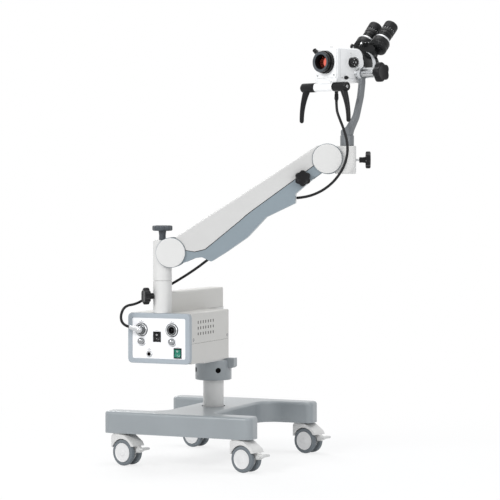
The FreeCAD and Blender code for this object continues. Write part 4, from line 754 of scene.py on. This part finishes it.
def head_details():
    """The head's dial rim, screws and seams, the magnification knob and the filter knob."""
    bm = bmesh.new()
    rim = along((HALF, *ZOOM), TO_SIDE)
    lathe_into(bm, [(16.6, -0.5), (16.6, 0.3), (16.2, 0.7), (15.4, 0.8), (14.4, 0.8), (14.2, 0.3),
                    (0, 0.3)], 72, rim, 0)
    block_into(bm, (9, FRONT + 4, HIGH - 1), (15, FRONT + 10, HIGH + 2.4), finish=1, bevel=1.0)
    screw_into(bm, along((HALF, FRONT + 58, HIGH - 14), TO_SIDE), 1.7, 0.7, 1, 2)
    screw_into(bm, along((HALF, FILTER[0] - 13, FILTER[1]), TO_SIDE), 1.5, 0.6, 1, 2)
    seam_in, seam_out, seam_y = HALF - 0.2, HALF + 0.22, FRONT + 14
    block_into(bm, (seam_in, seam_y - 0.3, LOW + 10), (seam_out, seam_y + 0.3, HIGH - 6), finish=3)
    block_into(bm, (seam_in, seam_y, LOW + 9.6), (seam_out, REAR - 8, LOW + 10.2), finish=3)
    piece("head_details", to_mesh("details", bm), ["white", "nickel", "dark", "seam"], "head", HEAD)
    bm = bmesh.new()
    knob = along((HALF + 0.5, *ZOOM), TO_SIDE)

    def lobes(turn, r, height):
        return r * (1 - 0.14 * (0.5 - 0.5 * math.cos(8 * turn)) ** 2) if r > 8 and height > 7.6 else r

    lathe_into(bm, [(0, 0.3), (13.0, 0.3), (13.6, 1), (13.6, 6.8), (13.0, 7.4), (13.0, 8.2),
                    (14.0, 8.8), (14.2, 9.6), (14.2, 14.6), (13.6, 15.6), (12.4, 16), (9, 16),
                    (8.4, 15.2), (0, 15.0)], 192, knob, 0, lobes)
    for n in range(8):
        dot = knob @ Matrix.Rotation(math.radians(45 * n), 4, "Z") @ Matrix.Translation((10.8, 0, 16))
        lathe_into(bm, [(1.1, -0.2), (1.1, 0.15), (0, 0.15)], 16, dot, 1)
    lathe_into(bm, ring_profile(1.2, 2.2, 14.9, 15.2, 0.1), 24, knob, 1)
    piece("magnification_dressed", to_mesh("magnification", bm), ["black", "white_mark"],
          "magnification", HEAD, ["magnification_knob"])
    bm = bmesh.new()
    knob = along((HALF + 0.4, *FILTER), TO_SIDE)
    lathe_into(bm, [(0, 0), (4.8, 0), (5, 0.6), (5, 6.4), (4.4, 7.2), (0, 7.2)], 40, knob, 0)
    block_into(bm, (-4.6, -1.2, 6.8), (4.6, 1.2, 9.4), knob, 0, 0.4)
    piece("filter_dressed", to_mesh("filter", bm), ["black"], "filter", HEAD, ["filter_knob"])


def tilt_trim():
    """A bright sleeve over the head's boss, and a silver band round the yoke's eye."""
    bm = bmesh.new()
    lathe_into(bm, [(12.8, 0.2), (14.6, 0.2), (15, 0.8), (15, 2.4), (13.9, 3.2), (13.9, 8.6),
                    (13.4, 9.4), (12.8, 9.4)], 72, along((HALF, 0, 0), TO_SIDE), 0)
    piece("tilt_boss_sleeve", to_mesh("boss", bm), ["nickel"], "head", HEAD)
    bm = bmesh.new()
    eye = along((HALF + 10.5, 0, 0), TO_SIDE)
    lathe_into(bm, [(15.6, 0.1), (16.9, 0.1), (17.3, 0.6), (17.3, 8.6), (16.8, 9.2), (16.4, 9.4),
                    (16.4, 10.4), (16.9, 10.8), (16.9, 11.3), (15.6, 11.3)], 72, eye, 0)
    piece("yoke_eye_band", to_mesh("eye_band", bm), ["silver"], "yoke", HEAD)


def drum():
    """The rear drum: a black body with a silver ring."""
    bm = bmesh.new()
    back = along((0, REAR, AXIS_Z), BEHIND)
    lathe_into(bm, [(36, 0.6), (37.2, 1.2), (37.5, 2), (37.5, 11.6), (37, 12.2), (37, 13), (37.5, 13.6),
                    (37.5, 38.6), (37, 39.5), (35.8, 39.9)], 96, back, 0)
    lathe_into(bm, [(35.8, 39.9), (36, 40.4), (36, 46.6), (35.3, 47.2), (35.3, 48), (36, 48.6),
                    (36, 54), (35, 55.6), (30, 56), (0, 56)], 96, back, 1)
    piece("drum_dressed", to_mesh("drum", bm), ["satin_black", "silver"], "head", HEAD, ["rear_drum"])


TUBE_SLOPE = 47
TUBE_TURN = Matrix.Rotation(math.radians(TUBE_SLOPE - 90), 4, "X")
TUBES = HEAD @ Matrix.Translation(Vector((0, 142, 123)) * MM) @ TUBE_TURN
EYE_HALF = 28
EYE_START = -22


def eyepieces():
    """Knurled dioptre ring with white ticks, and a ribbed rubber eyecup."""
    for side, x in (("left", -EYE_HALF), ("right", EYE_HALF)):
        bm = bmesh.new()
        base = Matrix.Translation((x, 0, EYE_START))

        def knurl(turn, r, height):
            return r + (0.4 * abs(math.cos(24 * turn)) - 0.2 if 10.5 < height < 19.5
                        and r > 18.6 else 0)

        lathe_into(bm, [(13.8, -11), (13.8, 0.1), (17.4, 0.1), (18.4, 0.5), (18.9, 1.2), (18.9, 8.6),
                        (18.4, 9.4), (18.4, 10.2), (19.3, 10.8), (19.3, 19), (18.8, 19.8), (18.2, 20.2),
                        (18.0, 22.2)], 192, base, 0, knurl)
        cup = [(18.0, 22.2), (19.4, 22.8), (19.9, 23.8)]
        for n in range(5):
            z = 25 + 3.6 * n
            cup += [(19.9, z), (19.5, z + 0.4), (19.5, z + 0.9), (19.9, z + 1.3)]
        cup += [(19.8, 43.2), (18.8, 45.2), (17.2, 46), (15.2, 45.6), (14, 44), (13, 40), (12.3, 37),
                (11.6, 36)]
        lathe_into(bm, cup, 96, base, 1)
        # a near-black disc closes the cup: painted shade in the eyepiece's opening
        lathe_into(bm, [(11.6, 36.2), (8, 37.6), (3, 38.5), (0, 38.7)], 48, base, 2)
        for n in range(18):
            tick = base @ Matrix.Rotation(math.radians(20 * n), 4, "Z")
            tall = 4.2 if n % 3 == 0 else 2.4
            block_into(bm, (17.9, -0.5, 20.2), (18.9, 0.5, 20.2 + 0.6 * tall), tick, 3)
        piece("eyepiece_dressed_" + side, to_mesh("eyepiece", bm),
              ["satin_black", "rubber", "dark", "white_mark"], "dioptre_" + side, TUBES,
              ["eyepiece_" + side])


CUP_TOP = -40


def binocular():
    """Two prism housings with silver rings, and the bridge, neck, clamp knob and stop screw."""
    for side, x in (("left", -EYE_HALF), ("right", EYE_HALF)):
        bm = bmesh.new()
        base = Matrix.Translation((x, 0, 0))
        cup = [(0, -59.95), (24.6, -59.95), (25.6, -59.6), (26, -58.6), (26, -56.4), (25.5, -55.9),
               (25.5, -55.1), (26, -54.6)]
        for n in range(9):
            turn = math.radians(90 * n / 8)
            cup.append((21.4 + 4.6 * math.cos(turn), CUP_TOP - 4.6 + 4.6 * math.sin(turn)))
        lathe_into(bm, cup + [(20.6, CUP_TOP)], 96, base, 0)
        ring = [(20.6, CUP_TOP), (21.8, CUP_TOP + 0.4), (22.2, CUP_TOP + 1.2), (22.2, CUP_TOP + 4.8),
                (21.7, CUP_TOP + 5.6), (20.8, CUP_TOP + 6), (18.6, CUP_TOP + 6)]
        lathe_into(bm, ring, 96, base, 1)
        barrel = [(18.6, CUP_TOP + 6), (18.6, -28.4), (18.1, -27.8), (18.1, -26.8), (18.6, -26.2),
                  (18.6, -23.4), (18.2, -22.9), (17.0, -22.6), (14.2, -22.6)]
        lathe_into(bm, barrel, 96, base, 0)
        piece("prism_dressed_" + side, to_mesh("prism", bm), ["satin_black", "silver"],
              "prism_housing_" + side, TUBES, ["prism_" + side])
    bm = bmesh.new()
    for x in (-EYE_HALF, EYE_HALF):
        plate = [(0, -72.2), (19, -72.2), (22.6, -71.6), (24.8, -70.2), (25.8, -68.2), (26, -66),
                 (26, -61.6), (25.6, -60.5), (0, -60.4)]
        lathe_into(bm, plate, 96, Matrix.Translation((x, 0, 0)), 0)
    block_into(bm, (-30, -21.5, -71.4), (30, 21.5, -60.7), finish=0, bevel=2.4)
    lathe_into(bm, [(29.5, -74.6), (30, -75.4), (30, -82), (29.4, -82.8), (28.4, -83.2), (28.2, -90),
                    (27, -100), (24.5, -112), (0, -112)], 96, finish=0)
    lathe_into(bm, [(23, -71), (27.6, -72), (29.2, -73.4), (29.5, -74.6)], 96, finish=0)
    back = HEAD.inverted() @ TUBES
    for v in bm.verts:
        seat = back @ (v.co * MM)
        if seat.y < NECK_START * MM:
            seat.y = NECK_START * MM
            v.co = (back.inverted() @ seat) / MM
    stem = along((-51, -9, -66.4), (-0.86, -0.5, 0.02))
    lathe_into(bm, [(2.4, -4), (2.4, 3.4)], 24, stem, 1)

    def lobes(turn, r, height):
        return r * (1 - 0.1 * (0.5 - 0.5 * math.cos(8 * turn))) if r > 4 else r

    lathe_into(bm, [(2.2, 3.4), (5.6, 3.6), (6.3, 4.4), (6.4, 5.4), (6.4, 8.8), (5.9, 9.8), (4.6, 10.3),
                    (0, 10.3)], 96, stem, 0, lobes)
    post = along((-9, -25.5, -77), (0, -0.62, 0.78))
    lathe_into(bm, [(5.2, -6), (5.2, 0.4), (4.6, 1.0), (3.0, 1.2)], 32, post, 0)
    lathe_into(bm, [(3.0, 1.2), (3.0, 5.4), (2.6, 6), (0, 6)], 32, post, 1)
    for x in (-3, 9):
        screw_into(bm, along((x, -21.5, -66), AHEAD), 1.2, 0.6, 1, 2)
    piece("binocular_dressed", to_mesh("binocular", bm), ["satin_black", "nickel", "dark"], "head",
          TUBES)
    bm = bmesh.new()
    collar = along((0, REAR + DRUM_LONG, AXIS_Z), BEHIND)
    lathe_into(bm, [(30, 0.1), (33.6, 0.1), (34.4, 0.8), (34.5, 1.8), (34.5, 6.6), (33.9, 7.2),
                    (33.9, 8.0), (34.5, 8.6), (34.5, 13.6), (33.8, 15.2), (32.4, 15.9), (30, 16),
                    (0, 16)], 96, collar, 0)
    piece("binocular_flange", to_mesh("flange", bm), ["satin_black"], "head", HEAD, ["binocular_body"])


HANDLE_Y, HANDLE_Z = -93, -40
HANDLE_START = 32.3
HUB_LONG = 48
GRIP_DROP, GRIP_SPLAY = 84, 19
GRIP_STEPS, GRIP_SIDES = 14, 40
TIP_WIDE, TIP_DEEP = 5.9, 6.2
ROOT_WIDER, ROOT_DEEPER = 4.6, 3.6


def handles():
    """Each handle: a hub on the cross bar, two collars, an end cap, and a curved tapering grip."""
    for side, way in (("left", -1), ("right", 1)):
        bm = bmesh.new()
        hub = along((way * HANDLE_START, HANDLE_Y, HANDLE_Z), (way, 0, 0))
        lathe_into(bm, [(8, 0), (11.6, 0), (12.2, 0.6), (12.2, 4.6), (11.5, 5.0), (11.5, 6.0),
                        (12.5, 6.6), (12.7, 8), (12.7, HUB_LONG - 5), (12.4, HUB_LONG - 2.4),
                        (11.2, HUB_LONG - 0.6), (9.4, HUB_LONG), (8.8, HUB_LONG - 1.6),
                        (0, HUB_LONG - 1.6)], 72, hub, 0)
        screw_into(bm, hub @ Matrix.Translation((0, 0, HUB_LONG - 1.6)), 4.2, 1.4, 1, 2)
        middle = HANDLE_START + HUB_LONG - 16
        rings = []
        for n in range(GRIP_STEPS + 1):
            part = n / GRIP_STEPS
            lean = math.atan2(2 * GRIP_SPLAY * (1 - part), GRIP_DROP)
            wide = TIP_WIDE + ROOT_WIDER * (1 - part) ** 2
            deep = TIP_DEEP + ROOT_DEEPER * (1 - part) ** 1.4
            out = middle + GRIP_SPLAY * (1 - (1 - part) ** 2)
            centre = Vector((way * out, HANDLE_Y, HANDLE_Z - 5 - GRIP_DROP * part))
            rings.append((centre, way * lean, wide, deep))
        tip, tip_lean = rings[GRIP_STEPS][:2]
        for n in range(1, 7):
            turn = math.radians(15 * n)
            drop = 6.6 * math.sin(turn)
            centre = tip + Vector((math.sin(tip_lean) * drop, 0, -math.cos(tip_lean) * drop))
            rings.append((centre, tip_lean, TIP_WIDE * math.cos(turn), TIP_DEEP * math.cos(turn)))
        around = [2 * math.pi * k / GRIP_SIDES for k in range(GRIP_SIDES)]
        loops = []
        for centre, lean, wide, deep in rings:
            turn = Matrix.Rotation(-lean, 3, "Y")
            oval = [Vector((wide * math.cos(a), deep * math.sin(a), 0)) for a in around]
            loops.append([bm.verts.new(centre + turn @ point) for point in oval])
        for low, high in zip(loops, loops[1:]):
            for k in range(GRIP_SIDES):
                m = (k + 1) % GRIP_SIDES
                bm.faces.new((low[k], low[m], high[m], high[k]))
        bm.faces.new(loops[0])
        bm.faces.new(loops[-1])
        piece("handle_dressed_" + side, to_mesh("handle", bm), ["black", "steel", "dark"],
              "grip_" + side, HEAD, ["handle_" + side])


def ferrule():
    """The cable's plug under the head."""
    bm = bmesh.new()
    seat = Matrix.Translation((0, -45, -72))
    lathe_into(bm, [(3.2, -14), (3.6, -12), (3.9, -4), (4.6, 0), (5.6, 0.8), (5.8, 2), (5.8, 9),
                    (5.3, 9.6), (5.3, 10.6), (5.8, 11.2), (5.8, 14), (5, 15), (5, 52), (0, 52)], 48,
               seat, 0)
    piece("head_plug_dressed", to_mesh("ferrule", bm), ["satin_black"], "head", HEAD, ["head_plug"])


# Arm: a black strip where the cover meets the channel, painted shade in the gap, from the seam's own
# outline
SEAM = ((38, -15), (58, -31.8), (72, -36.4), (86, -40.6), (101, -38.6), (207, -22.9), (231, -18.4),
        (255, -15.6), (469, 3.6))
SEAM_EDGE = ((-0.6, -0.9), (0.35, -0.9), (0.35, 0.9), (-0.6, 0.9))
CHEEK = 30


def arm_gap_painted_shade():
    """The strip of painted shade in the gap along both cheeks of the arm."""
    bm = bmesh.new()
    for side in (-1, 1):
        strips = []
        for x, z in SEAM:
            strips.append([bm.verts.new((x, side * (CHEEK + out), z + rise))
                           for out, rise in SEAM_EDGE])
        for a, b in zip(strips, strips[1:]):
            for k in range(4):
                bm.faces.new((a[k], a[(k + 1) % 4], b[(k + 1) % 4], b[k]))
        bm.faces.new(strips[0])
        bm.faces.new(strips[-1])
    # the black rubber colour of this strip is painted shade in the gap
    piece("arm_gap_painted_shade", to_mesh("arm_gap_painted_shade", bm), ["rubber"], "arm", ARM)


# Light cable: the two runs outside the arm, close to the points in the CAD source
CABLE_THICK = 7.4 * MM


def spot(place, x, y, z):
    return place @ Vector((x * MM, y * MM, z * MM))


def cable_route(name, points, body, node, bend_to=None):
    """A run of the cable on body. With bend_to set, the run is baked into a smooth mesh in place
    instead, on no body.
    """
    curve = bpy.data.curves.new(name, "CURVE")
    curve.dimensions = "3D"
    curve.bevel_depth = CABLE_THICK / 2
    curve.bevel_resolution = 5
    curve.resolution_u = 12
    spline = curve.splines.new("NURBS")
    spline.points.add(len(points) - 1)
    for target, point in zip(spline.points, points):
        target.co = (*point, 1)
    spline.order_u = 3
    spline.use_endpoint_u = True
    curve.materials.append(MAT["rubber"])
    obj = bpy.data.objects.new(name, curve)
    bpy.context.scene.collection.objects.link(obj)
    path = None
    if bend_to:
        curve.bevel_depth = 0
        path = [tuple(v.co) for v in bpy.data.meshes.new_from_object(obj).vertices]
        curve.bevel_depth = CABLE_THICK / 2
        tube = bpy.data.meshes.new_from_object(obj)
        bpy.data.objects.remove(obj)
        obj = bpy.data.objects.new(name, tube)
        bpy.context.scene.collection.objects.link(obj)
        smooth(tube, 180)
        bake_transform(obj)
    else:
        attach(obj, body)
    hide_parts(node)


def cables():
    """The run from the head's plug to the arm, and the run from there to the left socket."""
    upper = [spot(HEAD, 0, -45, -72), spot(HEAD, 0, -45, -98), spot(PIVOT, 461, -43, 372),
             spot(PIVOT, 478, -48, 330), spot(PIVOT, 487, -50, 289), spot(PIVOT, 482, -50, 250),
             spot(PIVOT, 464, -46, 214), spot(PIVOT, 438, -36, 185), spot(PIVOT, 405, -20, 164),
             spot(PIVOT, 368, -4, 152), spot(ARM, 373, 0, -48)]
    cable_route("light_cable_high", upper, "arm", "light_cable_upper", "block")
    port = panel_point(*PORTS["left"]) * MM - Vector((0, 2 * MM, 0))
    tail = port + Vector((-26, -22, 8)) * MM
    way = (tail - port - Vector((0, -13, 0)) * MM).normalized()
    lower = [spot(ARM, 76, 0, -68), spot(PIVOT, 77, 4, -37), spot(PIVOT, 46, 18, -58),
             spot(PIVOT, 10, 33, -80), spot(PIVOT, -32, 38, -104), spot(PIVOT, -72, 24, -126),
             spot(PIVOT, -99, -4, -143), port + Vector((-37, -28, 66)) * MM,
             port + Vector((-47, -35, 37)) * MM, tail + way * 18 * MM, tail]
    cable_route("light_cable_low", lower, "carriage", "light_cable_lower")


MAT = make_materials()
make_camera()
make_studio()
make_floor()
finish_nodes()
casters()
collar_sockets()
sockets()
rocker_frames()
rockers()
dimmers()
panel_marks()
box_screws()
box_shadows()
hand_knobs()
head_front_plate()
objective()
focus_ring()
head_details()
tilt_trim()
drum()
eyepieces()
binocular()
handles()
ferrule()
arm_gap_painted_shade()
cables()
